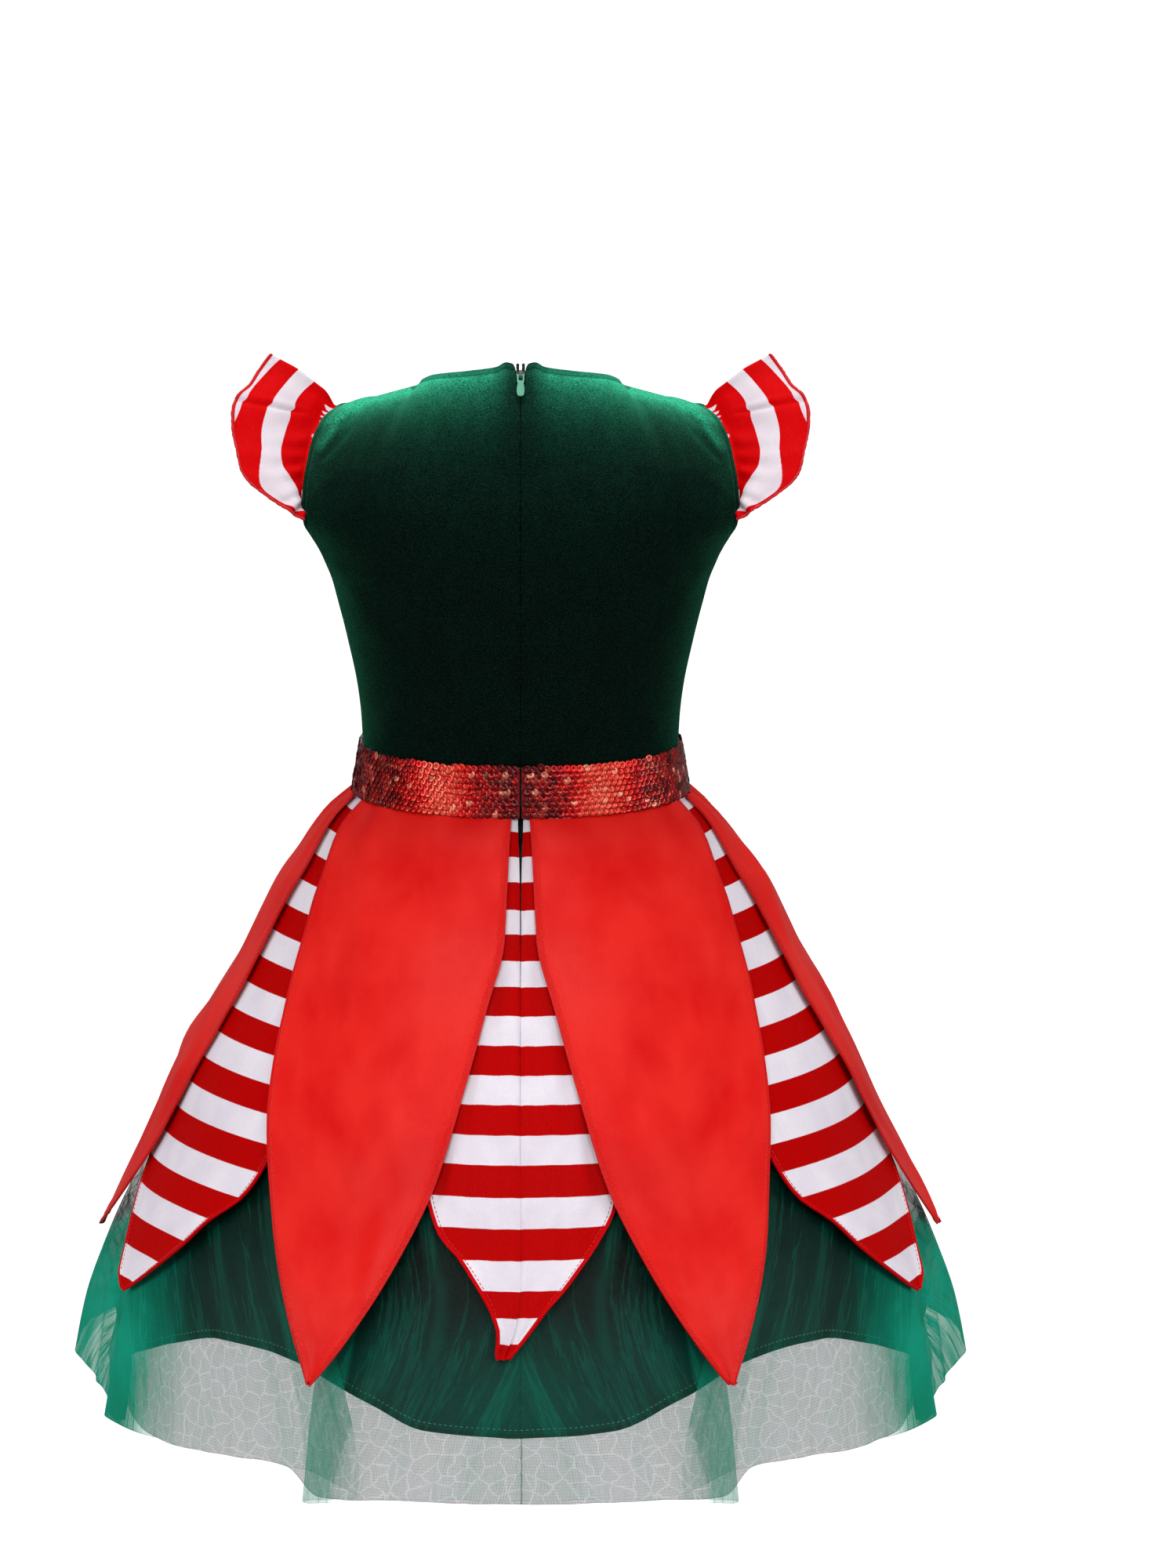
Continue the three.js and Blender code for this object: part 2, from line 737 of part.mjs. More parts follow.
for (const [layer, rows, paint] of [
  ["satin", SATIN, greenSatin],
  ["net", NET, greyNet],
]) {
  const cloth = (from, to, columns, turn, face, side) =>
    wall(layerPanel(layer, rows, from, to, columns), SKIRT_CLOTH, { lie: 0.5, turn, face, side });
  add(layer + "_back_left", cloth(0, -90 + SIDE_SEAM_DEG, 10, -1, -1, -1), paint());
  add(layer + "_back_right", cloth(0, 90 - SIDE_SEAM_DEG, 10, 1, -1, 1), paint());
  add(layer + "_front", cloth(90 + SIDE_SEAM_DEG, 270 - SIDE_SEAM_DEG, 20, 1, 1, 0), paint());
}

// ---------------------------------------------------------------- tulle
const tulleCurve = Object.fromEntries(
  ["hem", "step", "level"].map((c) => [c, curve(TULLE, "waist", c)]),
);
function tulleGrid(places) {
  const lastRow = SKIRT_ROWS[SKIRT_ROWS.length - 1];
  const grid = [];
  for (let r = 0; r < SKIRT_ROWS.length + HEM_SHARE.length; r++)
    grid.push(
      places.map(([waist, side]) => {
        const hem = WAIST_LOW - tulleCurve.level(waist);
        const down = r < SKIRT_ROWS.length ? SKIRT_ROWS[r] : lerp(lastRow, hem, HEM_SHARE[r - SKIRT_ROWS.length]);
        const w = foldDepth(down);
        const inward = layerIn.tulle(down);
        const phi = waist === 0 ? placketAngle(down, inward) : lerp(waist, tulleCurve.hem(waist), w);
        return skirt(side * phi, down, -inward - SKIRT_CLOTH / 2, w * tulleCurve.step(waist));
      }),
    );
  return grid;
}
const waistPlaces = TULLE.map((r) => r.waist);
const backPlaces = [...waistPlaces.filter((w) => w < 90 - 1), 90 - SIDE_SEAM_DEG];
const frontPlaces = [90 + SIDE_SEAM_DEG, ...waistPlaces.filter((w) => w > 90 + 1)];
const column = (waist, side) => tulleGrid([[waist, side]]).map((row) => row[0]);
const beforeSeam = backPlaces[backPlaces.length - 2];
const afterSeam = frontPlaces[1];
for (const [name, side] of [
  ["tulle_back_left", -1],
  ["tulle_back_right", 1],
])
  add(
    name,
    wall(tulleGrid(backPlaces.map((w) => [w, side])), SKIRT_CLOTH, {
      lie: 0.5,
      turn: side,
      side,
      after: column(afterSeam, side),
    }),
    tulleNet(),
  );
add(
  "tulle_front",
  wall(
    tulleGrid([
      ...frontPlaces.map((w) => [w, 1]),
      ...frontPlaces
        .slice(0, -1)
        .reverse()
        .map((w) => [w, -1]),
    ]),
    SKIRT_CLOTH,
    { lie: 0.5, before: column(beforeSeam, 1), after: column(beforeSeam, -1) },
  ),
  tulleNet(),
);

// ---------------------------------------------------------------- zip
// The line of the zip, down the middle of the back from the neck to its foot below the waistband: the
// bodice's own rows, then the waistband's, then the inside of the net.
const backRow = (up) => bodice(-1, 0, up);
const lastTwo = BODICE_UP.slice(-2).map(backRow);
const zipHead = lastTwo[0].clone().lerp(lastTwo[1], (ZIP_HEAD - lastTwo[0].z) / (lastTwo[1].z - lastTwo[0].z));
const insideNet = (down) => skirt(0, down, -layerIn.net(down) - SKIRT_CLOTH + VELVET - 0.8);
const ZIP_LINE = [
  insideNet(WAIST_LOW - ZIP_FOOT),
  insideNet(SKIRT_ROWS[0]),
  band(-1, 1, 0, 0.8).add(new THREE.Vector3(0, BAND - VELVET + 0.3, 0)),
  ...BODICE_UP.slice(0, -1).map(backRow),
  zipHead,
].map((p) => p.setX(0));
function zipY(z) {
  let i = 0;
  while (i < ZIP_LINE.length - 2 && z > ZIP_LINE[i + 1].z) i++;
  const [a, b] = [ZIP_LINE[i], ZIP_LINE[i + 1]];
  return lerp(a.y, b.y, (z - a.z) / (b.z - a.z));
}
function strip(fromX, toX, head, behind, thick) {
  const line = [...ZIP_LINE.filter((p) => p.z < head - 3), new THREE.Vector3(0, zipY(head), head)];
  return wall(
    line.map((p, i) => {
      const along = line[Math.min(i + 1, line.length - 1)].clone().sub(line[Math.max(i - 1, 0)]);
      const inward = new THREE.Vector3(0, along.z, -along.y).normalize();
      return [fromX, toX].map((x) => new THREE.Vector3(x, p.y, p.z).addScaledVector(inward, behind));
    }),
    thick,
    { turn: -1 },
  );
}
add("zip_tape_left", strip(-12, -1.9, ZIP_HEAD, VELVET + 0.9, TAPE), zipCloth());
add("zip_tape_right", strip(1.9, 12, ZIP_HEAD, VELVET + 0.9, TAPE), zipCloth());
add("zip_chain", strip(-1.5, 1.5, 3.5, VELVET + 0.9, 1.2), zipCloth());

// The slider sits in the slope at the top of the zip. Local axes: X across, Y up along the zip, Z outwards.
const slopeAt = (zipY(SLIDER_LEVEL) - zipY(SLIDER_LEVEL - 6)) / 6;
const zipUp = new THREE.Vector3(0, slopeAt, 1).normalize();
const zipOut = new THREE.Vector3(1, 0, 0).cross(zipUp).normalize(); // away from the wearer
if (zipOut.y > 0) zipOut.negate();
const zipFrame = new THREE.Matrix4()
  .makeBasis(new THREE.Vector3().crossVectors(zipUp, zipOut), zipUp, zipOut)
  .setPosition(0, zipY(SLIDER_LEVEL), SLIDER_LEVEL);

const wasm = await Module();
wasm.setup();
function solid(geometry) {
  const bare = geometry.clone();
  bare.deleteAttribute("normal");
  bare.deleteAttribute("uv");
  const merged = mergeVertices(bare, 1e-4);
  return new wasm.Manifold(
    new wasm.Mesh({
      numProp: 3,
      vertProperties: new Float32Array(merged.attributes.position.array),
      triVerts: new Uint32Array(merged.index.array),
    }),
  );
}
function geometryOf(manifold) {
  const m = manifold.getMesh();
  const g = new THREE.BufferGeometry();
  const xyz = new Float32Array(m.numVert * 3);
  for (let i = 0; i < m.numVert; i++) xyz.set(m.vertProperties.subarray(i * m.numProp, i * m.numProp + 3), i * 3);
  g.setAttribute("position", new THREE.BufferAttribute(xyz, 3));
  g.setIndex(Array.from(m.triVerts));
  g.computeVertexNormals();
  return g;
}
const extrude = (shape, depth) =>
  new THREE.ExtrudeGeometry(shape, { depth, bevelEnabled: false, curveSegments: 6 });

// Slider: a shield-shaped body with a bridge over it.
const shield = new THREE.Shape();
shield.moveTo(-SLIDER.half_width * 0.55, -SLIDER.half_length);
shield.lineTo(SLIDER.half_width * 0.55, -SLIDER.half_length);
shield.lineTo(SLIDER.half_width, SLIDER.half_length * 0.35);
shield.lineTo(SLIDER.half_width * 0.8, SLIDER.half_length);
shield.lineTo(-SLIDER.half_width * 0.8, SLIDER.half_length);
shield.lineTo(-SLIDER.half_width, SLIDER.half_length * 0.35);
shield.closePath();
const sliderBody = extrude(shield, SLIDER.depth_in + SLIDER.depth_out).translate(0, 0, -SLIDER.depth_in);
const bridge = new THREE.Shape();
bridge.moveTo(-ARCH.half_length, 0);
bridge.lineTo(-ARCH.half_length, ARCH.rise - 0.9);
bridge.lineTo(-ARCH.half_length + 0.9, ARCH.rise);
bridge.lineTo(ARCH.half_length - 0.9, ARCH.rise);
bridge.lineTo(ARCH.half_length, ARCH.rise - 0.9);
bridge.lineTo(ARCH.half_length, 0);
bridge.lineTo(ARCH.half_length - ARCH.post, 0);
bridge.lineTo(ARCH.half_length - ARCH.post, ARCH.rise - ARCH.head);
bridge.lineTo(-ARCH.half_length + ARCH.post, ARCH.rise - ARCH.head);
bridge.lineTo(-ARCH.half_length + ARCH.post, 0);
bridge.closePath();
// drawn with X along the zip and Y outwards, then stood up across the middle of the slider
const bridgeBody = extrude(bridge, ARCH.half_width * 2)
  .translate(0, 0, -ARCH.half_width)
  .applyMatrix4(
    new THREE.Matrix4().makeBasis(
      new THREE.Vector3(0, 1, 0),
      new THREE.Vector3(0, 0, 1),
      new THREE.Vector3(1, 0, 0),
    ),
  );
const sliderGeometry = geometryOf(solid(sliderBody).add(solid(bridgeBody))).applyMatrix4(zipFrame);
add("zip_slider", sliderGeometry, zipPaint());

// Pull tab: a cross bar under the bridge, two arms and a drop-shaped plate.
const drop = new THREE.Shape();
drop.moveTo(-PULL.arm_out, PULL.bar);
drop.lineTo(-PULL.arm_out, -PULL.window - 0.5);
drop.lineTo(-1.55, -PULL.window - 2);
drop.quadraticCurveTo(-2.6, -PULL.length + 3.2, -1.6, -PULL.length + 0.7);
drop.quadraticCurveTo(0, -PULL.length - 0.5, 1.6, -PULL.length + 0.7);
drop.quadraticCurveTo(2.6, -PULL.length + 3.2, 1.55, -PULL.window - 2);
drop.lineTo(PULL.arm_out, -PULL.window - 0.5);
drop.lineTo(PULL.arm_out, PULL.bar);
drop.closePath();
const eye = new THREE.Path();
eye.moveTo(-PULL.arm_in, -PULL.bar);
eye.lineTo(PULL.arm_in, -PULL.bar);
eye.lineTo(PULL.arm_in, -PULL.window);
eye.lineTo(-PULL.arm_in, -PULL.window);
eye.closePath();
drop.holes.push(eye);
const pull = extrude(drop, PULL.thick).translate(0, 0, PULL.axis_out - PULL.thick / 2);
add("zip_pull_tab", geometryOf(solid(pull)).applyMatrix4(zipFrame), zipPaint());

export default dress;
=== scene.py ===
import math

import bpy
import numpy as np
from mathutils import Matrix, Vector


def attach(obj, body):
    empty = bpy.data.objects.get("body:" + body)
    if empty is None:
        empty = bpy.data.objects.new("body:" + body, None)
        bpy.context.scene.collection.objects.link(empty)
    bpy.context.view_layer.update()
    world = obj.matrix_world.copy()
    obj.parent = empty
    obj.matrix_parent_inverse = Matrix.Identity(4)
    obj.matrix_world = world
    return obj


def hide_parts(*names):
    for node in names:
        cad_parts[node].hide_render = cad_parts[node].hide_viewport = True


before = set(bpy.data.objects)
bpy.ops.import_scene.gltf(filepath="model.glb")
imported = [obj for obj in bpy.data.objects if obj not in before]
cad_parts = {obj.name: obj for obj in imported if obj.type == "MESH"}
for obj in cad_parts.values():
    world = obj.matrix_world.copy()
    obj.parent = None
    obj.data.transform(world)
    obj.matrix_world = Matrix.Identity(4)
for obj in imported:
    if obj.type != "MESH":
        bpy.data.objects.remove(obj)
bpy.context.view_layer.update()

MM = 0.001
PI = math.pi

# ---------------------------------------------------------------- named sizes, in millimetres, as in the solid parts
WAIST_LOW, WAIST_HIGH, UNDERARM = -232.0, -204.0, -98.0
NECK_HALF_WIDTH, NECK_BACK_DEPTH, NECK_FRONT_DEPTH, NECK_FRONT_DROP = 57.0, 46.0, 74.0, 42.0
SHOULDER_TIP_X, SHOULDER_TIP_DROP, NECK_SHARE = 104.0, 12.7, 0.52
GAP = 0.0  # the drawn cloth meets at its side seams; the solids stand 0.3 apart
WAIST_FLATTENING, ROUND_BELOW = 20.0, 230.0
FOLDS_FROM, FOLDS_FULL = 150.0, 330.0

BODICE = [
    (34, 124.0, 77.0, 76.0, 2.35),
    (50, 131.3, 82.0, 81.0, 2.35),
    (59, 132.7, 84.0, 83.0, 2.35),
    (73, 129.2, 85.0, 84.0, 2.35),
    (81, 122.0, 84.8, 84.0, 2.35),
    (89, 115.5, 84.3, 83.5, 2.35),
    (98, 111.0, 83.5, 83.0, 2.35),
    (107, 107.3, 82.5, 82.0, 2.35),
    (124, 102.8, 80.0, 80.5, 2.35),
    (142, 98.6, 78.0, 78.5, 2.3),
    (170, 93.0, 74.5, 75.0, 2.25),
    (188, 91.0, 72.5, 73.0, 2.2),
    (204, 90.2, 71.5, 72.0, 2.2),
]
ARMHOLE = [(34, 30), (37, 32), (50, 39), (59, 41), (73, 38), (81, 31), (89, 20), (98, 0.2)]
NECK_BACK = [(0, 16.6), (4, 17.2), (8, 18.0), (13, 15.4), (28, 12.7), (47, 9.0), (55, 4.4), (57, 0.0)]
ZIP_SLIT = [(-19, 5.2), (-17.2, 4.1), (-15.2, 2.9), (-13.5, 2.65), (-8, 2.6), (-6, 2.2), (-4.5, 1.0), (-3, 0.4), (0, 0.26), (204, 0.2)]
FLARE = [
    (0, 95.4),
    (12, 109),
    (24, 118.7),
    (37, 127.8),
    (50, 137.5),
    (67, 146.8),
    (100, 163.8),
    (126, 178.9),
    (154, 194.2),
    (194, 211.7),
    (223, 226),
    (249, 238.3),
    (275, 249.5),
    (300, 259),
    (345, 269),
]
LAYERS = [
    (0, 0, 2.4, 4.8, 7.2, 9.6),
    (80, 0, 3.2, 6.6, 9.8, 13.0),
    (200, 0, 3.2, 7.0, 13.6, 17.2),
    (300, 0, 3.2, 7.0, 13.6, 17.2),
    (345, 0, 3.2, 7.0, 13.6, 15.6),
]
PLACKET = [(0, 2.0), (8, 1.6), (17, 0.3), (30, 0.05), (345, 0.04)]
PETAL_RED_BACK = [
    (0.4, 3.0, 68),
    (16, 3.2, 65.5),
    (30, 3.3, 61.6),
    (56, 3.5, 56.5),
    (90, 6.6, 53.2),
    (128, 9.6, 48.4),
    (172, 12.8, 42.4),
    (211, 17.2, 37),
    (251, 22.5, 31),
    (268, 25.1, 28.3),
    (275.6, 26.4, 27.2),
]
PETAL_RED_SIDE = [
    (0.4, 77, 103),
    (20, 74, 106),
    (45, 70.5, 109.5),
    (84, 71.5, 109),
    (120, 72, 108.5),
    (163, 74, 106.5),
    (204, 77.5, 103.5),
    (235, 82, 98.5),
    (255, 86.5, 93.5),
    (263, 89.6, 90.4),
]
PETAL_STRIPE_BACK = [
    (0.4, -20, 0, 20),
    (60, -22, 0, 22),
    (120, -19.5, 0, 19.5),
    (160, -16.5, 0, 16.7),
    (189, -13.5, 0, 14.1),
    (199, -11.9, 0, 12.1),
    (210, -8.6, 0, 9.5),
    (224, -5.7, -0.1, 6.0),
    (234, -3.9, -0.4, 3.3),
    (244, -3.1, -1.0, 1.1),
    (253, -3.2, -2.0, -0.8),
    (256, -2.9, -2.15, -1.4),
]
PETAL_STRIPE_SIDE = [
    (0.4, 52, 86),
    (60, 45, 88),
    (120, 41, 88),
    (150, 41.3, 86.5),
    (172, 42.8, 84.5),
    (196, 45.8, 82),
    (216, 52, 79.5),
    (231, 55.4, 76.6),
    (251, 60.8, 72.6),
    (264, 64.7, 70.8),
    (270, 66.9, 68.1),
]
TULLE = [
    (0, 0, 0, -560),
    (9, 10, -1, -561),
    (18, 20, -2, -566),
    (25, 26.6, -3, -573),
    (28, 27.3, -4.3, -573),
    (31, 26.6, -5.6, -572),
    (36, 20.8, -6.8, -568),
    (38, 20.2, -8.0, -567),
    (40, 20.8, -9.2, -566),
    (46, 27.5, -11.5, -560),
    (52, 35, -14, -559),
    (60, 46, -13, -566),
    (67, 57, -7, -571),
    (72, 65.5, -2, -573),
    (74.5, 66.6, -3.2, -573),
    (77, 65.8, -4.6, -573),
    (80, 62.8, -6.0, -572),
    (82, 62.2, -7.2, -571),
    (84, 63, -8.4, -571),
    (90, 72, -10, -570),
    (96, 81, -2, -567),
    (102, 92, 2, -566),
    (110, 104, -6, -571),
    (118, 115, -13, -568),
    (124, 123, -5, -572),
    (127, 128.2, -2, -574),
    (129.5, 129, -3.2, -574),
    (132, 128.3, -4.5, -573),
    (136, 123.6, -6, -571),
    (138, 123, -7.2, -570),
    (140, 123.7, -8.4, -570),
    (147, 134, -12, -566),
    (158, 150, -10, -563),
    (169, 166, -4, -566),
    (180, 180, -2, -562),
]
SATIN = [
    (0, 0, -530),
    (12, -1, -528.5),
    (20, -5, -519.5),
    (26, -9, -513.5),
    (31, -12, -508.5),
    (38, -13, -506.5),
    (47, -12, -508.5),
    (56, -8, -520),
    (64, -6, -535),
    (70, -8, -545),
    (78, -10, -541),
    (88, -6, -530),
    (100, -5, -526),
    (112, -11, -520),
    (122, -10, -528),
    (135, -14, -530),
    (150, -12, -522),
    (165, -7, -526),
    (180, -4, -530),
]
NET = [
    (0, -1, -565.5),
    (10, -3, -567),
    (18, -9, -571),
    (27, -12, -576),
    (33, -14.5, -565),
    (42, -15, -569),
    (52, -12.5, -575),
    (61, -10, -577.5),
    (70, -13, -577),
    (80, -11, -576),
    (92, -8, -573),
    (103, -9, -575),
    (114, -15, -575),
    (124, -12, -577),
    (134, -16, -573),
    (148, -14.5, -568.5),
    (165, -9.5, -571),
    (180, -6, -569),
]
# the cap sleeve's outer hem, the height of its seam, and where its stripes change, from the underarm (0) up to the crest (1)
FRILL = [
    # share, hem: out, behind, level; seam level; stripe changes from the seam
    (0.0, 121.0, -49, -68.5, -66.0, 0.8, 2.0, 60),
    (0.08, 124.0, -53, -65.5, -62.0, 1.0, 7.0, 60),
    (0.14, 128.3, -54, -62.4, -59.0, 1.2, 10.5, 60),
    (0.22, 134.7, -54, -58.0, -54.5, 2.5, 17.5, 60),
    (0.30, 142.1, -52, -53.1, -50.0, 5.0, 23.5, 60),
    (0.38, 149.6, -49, -47.9, -46.0, 8.5, 25.6, 58),
    (0.45, 154.0, -46, -41.8, -42.0, 11.5, 25.9, 56),
    (0.54, 156.7, -42, -30.2, -35.0, 14.4, 26.2, 50),
    (0.64, 159.1, -36, -19.3, -27.5, 15.5, 28.5, 46),
    (0.72, 159.8, -30, -11.3, -21.0, 15.8, 30.0, 45.5),
    (0.78, 158.0, -24, -5.2, -18.5, 15.2, 29.0, 44.5),
    (0.86, 151.0, -16, 1.8, -16.0, 14.6, 27.5, 43.0),
    (0.93, 146.2, -8, 9.0, -14.0, 14.4, 26.5, 41.5),
    (1.0, 139.1, 0, 18.2, -12.7, 14.4, 26.0, 40.0),
]
# rise of the crest over the straight line from its seam to its hem
FRILL_CREST = [(0, 0), (0.08, 4.6), (0.15, 6.2), (0.45, 5.0), (0.78, 1.9), (1, 0)]
# where the stripes change down the centre petals, in millimetres of cloth from the waist, from white to red and back
STRIPES_CENTRE = [27.1, 42.1, 59.2, 73.4, 88.6, 103.0, 119.7, 136.4, 153.3, 169.7, 186.6, 202.7, 220.3, 236.9, 254.2, 270.5, 284.8, 298.4]


# ---------------------------------------------------------------- curves
def curve(rows, column, key=0):
    """A smooth curve through one column of a table that never overshoots its rows."""
    x = np.array([r[key] for r in rows], float)
    y = np.array([r[column] for r in rows], float)
    d = np.diff(y) / np.diff(x)
    m = np.empty(len(x))
    m[0], m[-1] = d[0], d[-1]
    a, b = d[:-1], d[1:]
    same = a * b > 0
    m[1:-1] = np.where(same, 2 * a * b / np.where(same, a + b, 1), 0)

    def f(v):
        v = np.asarray(v, float)
        c = np.clip(v, x[0], x[-1])
        i = np.clip(np.searchsorted(x, c, side="right") - 1, 0, len(x) - 2)
        h = x[i + 1] - x[i]
        s = (c - x[i]) / h
        s2, s3 = s * s, s * s * s
        return (
            (2 * s3 - 3 * s2 + 1) * y[i]
            + (s3 - 2 * s2 + s) * h * m[i]
            + (3 * s2 - 2 * s3) * y[i + 1]
            + (s3 - s2) * h * m[i + 1]
        )

    return f


def lerp(a, b, t):
    return a + (b - a) * t


def smooth(v):
    v = np.clip(v, 0, 1)
    return v * v * (3 - 2 * v)


def pack(x, y, z):
    return np.stack(np.broadcast_arrays(x, y, z), -1).astype(float)


section_half, section_back, section_front, section_power = (curve(BODICE, i) for i in (1, 2, 3, 4))
armhole_reach, neck_back, zip_slit = curve(ARMHOLE, 1), curve(NECK_BACK, 1), curve(ZIP_SLIT, 1)
flare, placket = curve(FLARE, 1), curve(PLACKET, 1)
LAYER_IN = {n: curve(LAYERS, i + 1) for i, n in enumerate(("petal_red", "petal_stripe", "tulle", "satin", "net"))}


# ---------------------------------------------------------------- forms
def section(face, share, depth, end):
    half, power = section_half(depth), section_power(depth)
    deep = section_back(depth) if face < 0 else section_front(depth)
    reach = np.where(depth >= -UNDERARM, GAP / 2, end)
    phi = np.arccos(np.clip(reach / deep, 0, 1) ** (power / 2)) * share
    return pack(
        half * np.sin(phi).clip(0) ** (2 / power),
        face * deep * np.cos(phi).clip(0) ** (2 / power),
        -depth,
    )


def top_edge(face, u):
    theta = np.minimum(u / NECK_SHARE, 1) * PI / 2
    x = NECK_HALF_WIDTH * np.sin(theta)
    c = np.cos(theta).clip(0)
    if face < 0:
        neck = pack(x, -np.maximum(NECK_BACK_DEPTH * c, GAP / 2), neck_back(x))
    else:
        neck = pack(x, np.maximum(NECK_FRONT_DEPTH * c**0.95, GAP / 2), -NECK_FRONT_DROP * c**2)
    s = np.clip((u - NECK_SHARE) / (1 - NECK_SHARE), 0, 1)
    shoulder = pack(lerp(NECK_HALF_WIDTH, SHOULDER_TIP_X, s), face * GAP / 2 + 0 * s, -SHOULDER_TIP_DROP * s)
    return np.where((u <= NECK_SHARE)[..., None], neck, shoulder)


def yoke_level(face, u):
    drop, shoulder, tip = (50 if face < 0 else 18), 40, 24.3
    fall = np.where(
        u < NECK_SHARE,
        lerp(drop, shoulder, smooth(u / NECK_SHARE)),
        lerp(shoulder, tip, (u - NECK_SHARE) / (1 - NECK_SHARE)),
    )
    return top_edge(face, u)[..., 2] - fall


def bodice(face, u, up):
    u, up = np.broadcast_arrays(np.asarray(u, float), np.asarray(up, float))
    low = section(face, u, lerp(-WAIST_HIGH - GAP / 2, -UNDERARM, np.minimum(up, 0.5) * 2), 0.0)
    g = np.clip((up - 0.5) * 4, 0, 1)
    depth = -lerp(UNDERARM, yoke_level(face, u), g)
    end = -lerp(UNDERARM, yoke_level(face, np.ones_like(u)), g)
    mid = section(face, u, np.minimum(depth, -UNDERARM - 0.001), armhole_reach(end))
    w = np.clip((up - 0.75) * 4, 0, 1)[..., None]
    top = top_edge(face, u)
    bend = pack(
        mid[..., 0] + 0.18 * (top[..., 0] - mid[..., 0]),
        mid[..., 1] + lerp(0.15, 0.5, u) * (top[..., 1] - mid[..., 1]),
        top[..., 2] - lerp(0.45, 0.18, u) * (top[..., 2] - mid[..., 2]),
    )
    high = mid * (1 - w) ** 2 + bend * 2 * w * (1 - w) + top * w * w
    return np.where((up <= 0.5)[..., None], low, high)


def band(face, u, fall):
    half, deep, power = lerp(91.6, 96.4, fall), lerp(73, 76.4, fall), lerp(2.2, 2.05, fall)
    phi = np.arccos((GAP / 2 / deep) ** (power / 2)) * u
    return pack(
        half * np.sin(phi).clip(0) ** (2 / power),
        face * deep * np.cos(phi).clip(0) ** (2 / power),
        lerp(WAIST_HIGH - GAP / 2, WAIST_LOW, fall),
    )


def skirt(phi, down, outward, step=0.0):
    half = flare(down) + outward + step
    deep = half - WAIST_FLATTENING * np.clip(1 - down / ROUND_BELOW, 0, 1)
    a = np.radians(phi)
    return pack(half * np.sin(a), -deep * np.cos(a), WAIST_LOW - down)


def placket_angle(down, inward):
    return np.degrees(np.arcsin(placket(down) / (flare(down) - inward)))


def fold_depth(down):
    return smooth((down - FOLDS_FROM) / (FOLDS_FULL - FOLDS_FROM))


# ---------------------------------------------------------------- mesh code
def grid_normals(g):
    across = np.empty_like(g)
    across[:, 1:-1] = g[:, 2:] - g[:, :-2]
    across[:, 0], across[:, -1] = g[:, 1] - g[:, 0], g[:, -1] - g[:, -2]
    along = np.empty_like(g)
    along[1:-1] = g[2:] - g[:-2]
    along[0], along[-1] = g[1] - g[0], g[-1] - g[-2]
    n = np.cross(along, across)
    return n / np.linalg.norm(n, axis=-1, keepdims=True).clip(1e-9)


def facing(g, outward=None):
    """1 or -1: which way the grid's normals turn to face outwards."""
    n = grid_normals(g)
    away = g * np.array([1.0, 1.0, 0.0]) if outward is None else np.broadcast_to(np.array(outward, float), g.shape)
    return 1.0 if (n * away).sum() > 0 else -1.0


def arc(points, axis):
    """Length along the grid's rows or columns, from the first."""
    d = np.linalg.norm(np.diff(points, axis=axis), axis=-1)
    zero = np.zeros_like(np.take(d, [0], axis=axis))
    return np.concatenate([zero, np.cumsum(d, axis=axis)], axis=axis)


def relax(g, turns, keep=0.0):
    """Evens a grid's inside without shrinking it. Its border stays."""
    g = g.copy()
    for i in range(turns):
        for factor in (0.5, -0.52):
            c = g[1:-1, 1:-1]
            mean = (g[2:, 1:-1] + g[:-2, 1:-1] + g[1:-1, 2:] + g[1:-1, :-2]) / 4
            g[1:-1, 1:-1] = c + factor * (mean - c)
    return g


def distance_to(points, line):
    """Distance of each point of a grid from a polyline."""
    p = points.reshape(-1, 1, 3)
    a, b = line[None, :-1], line[None, 1:]
    ab = b - a
    t = np.clip(((p - a) * ab).sum(-1) / (ab * ab).sum(-1).clip(1e-9), 0, 1)
    d = np.linalg.norm(p - (a + ab * t[..., None]), axis=-1).min(1)
    return d.reshape(points.shape[:-1])


def build(name, verts, faces, material, attributes=None, sharp=None, smooth_faces=True):
    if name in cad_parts:
        name += "_cloth"
    me = bpy.data.meshes.new(name)
    faces = np.asarray(faces, np.int32)
    k = faces.shape[1]
    me.vertices.add(len(verts))
    me.vertices.foreach_set("co", (np.asarray(verts, np.float64) * MM).astype(np.float32).ravel())
    me.loops.add(faces.size)
    me.loops.foreach_set("vertex_index", faces.ravel())
    me.polygons.add(len(faces))
    me.polygons.foreach_set("loop_start", np.arange(0, faces.size, k, dtype=np.int32))
    me.update(calc_edges=True)
    me.polygons.foreach_set("use_smooth", np.full(len(faces), smooth_faces))
    for key, values in (attributes or {}).items():
        kind = "FLOAT_VECTOR" if values.ndim == 2 else "FLOAT"
        made = me.attributes.new(key, kind, "POINT")
        made.data.foreach_set("vector" if values.ndim == 2 else "value", values.astype(np.float32).ravel())
    if sharp is not None:
        pairs = np.empty(len(me.edges) * 2, np.int32)
        me.edges.foreach_get("vertices", pairs)
        pairs = pairs.reshape(-1, 2)
        crisp = me.attributes.new("sharp_edge", "BOOLEAN", "EDGE")
        crisp.data.foreach_set("value", (sharp[pairs[:, 0]] == sharp[pairs[:, 1]]) & (sharp[pairs[:, 0]] > 0))
    me.materials.append(material)
    me.validate()
    o = bpy.data.objects.new(name, me)
    bpy.context.scene.collection.objects.link(o)
    return o


def border_marks(rows, cols):
    marks = np.zeros((rows, cols), int)
    marks[0], marks[-1], marks[:, 0], marks[:, -1] = 1, 1, 1, 1
    return marks


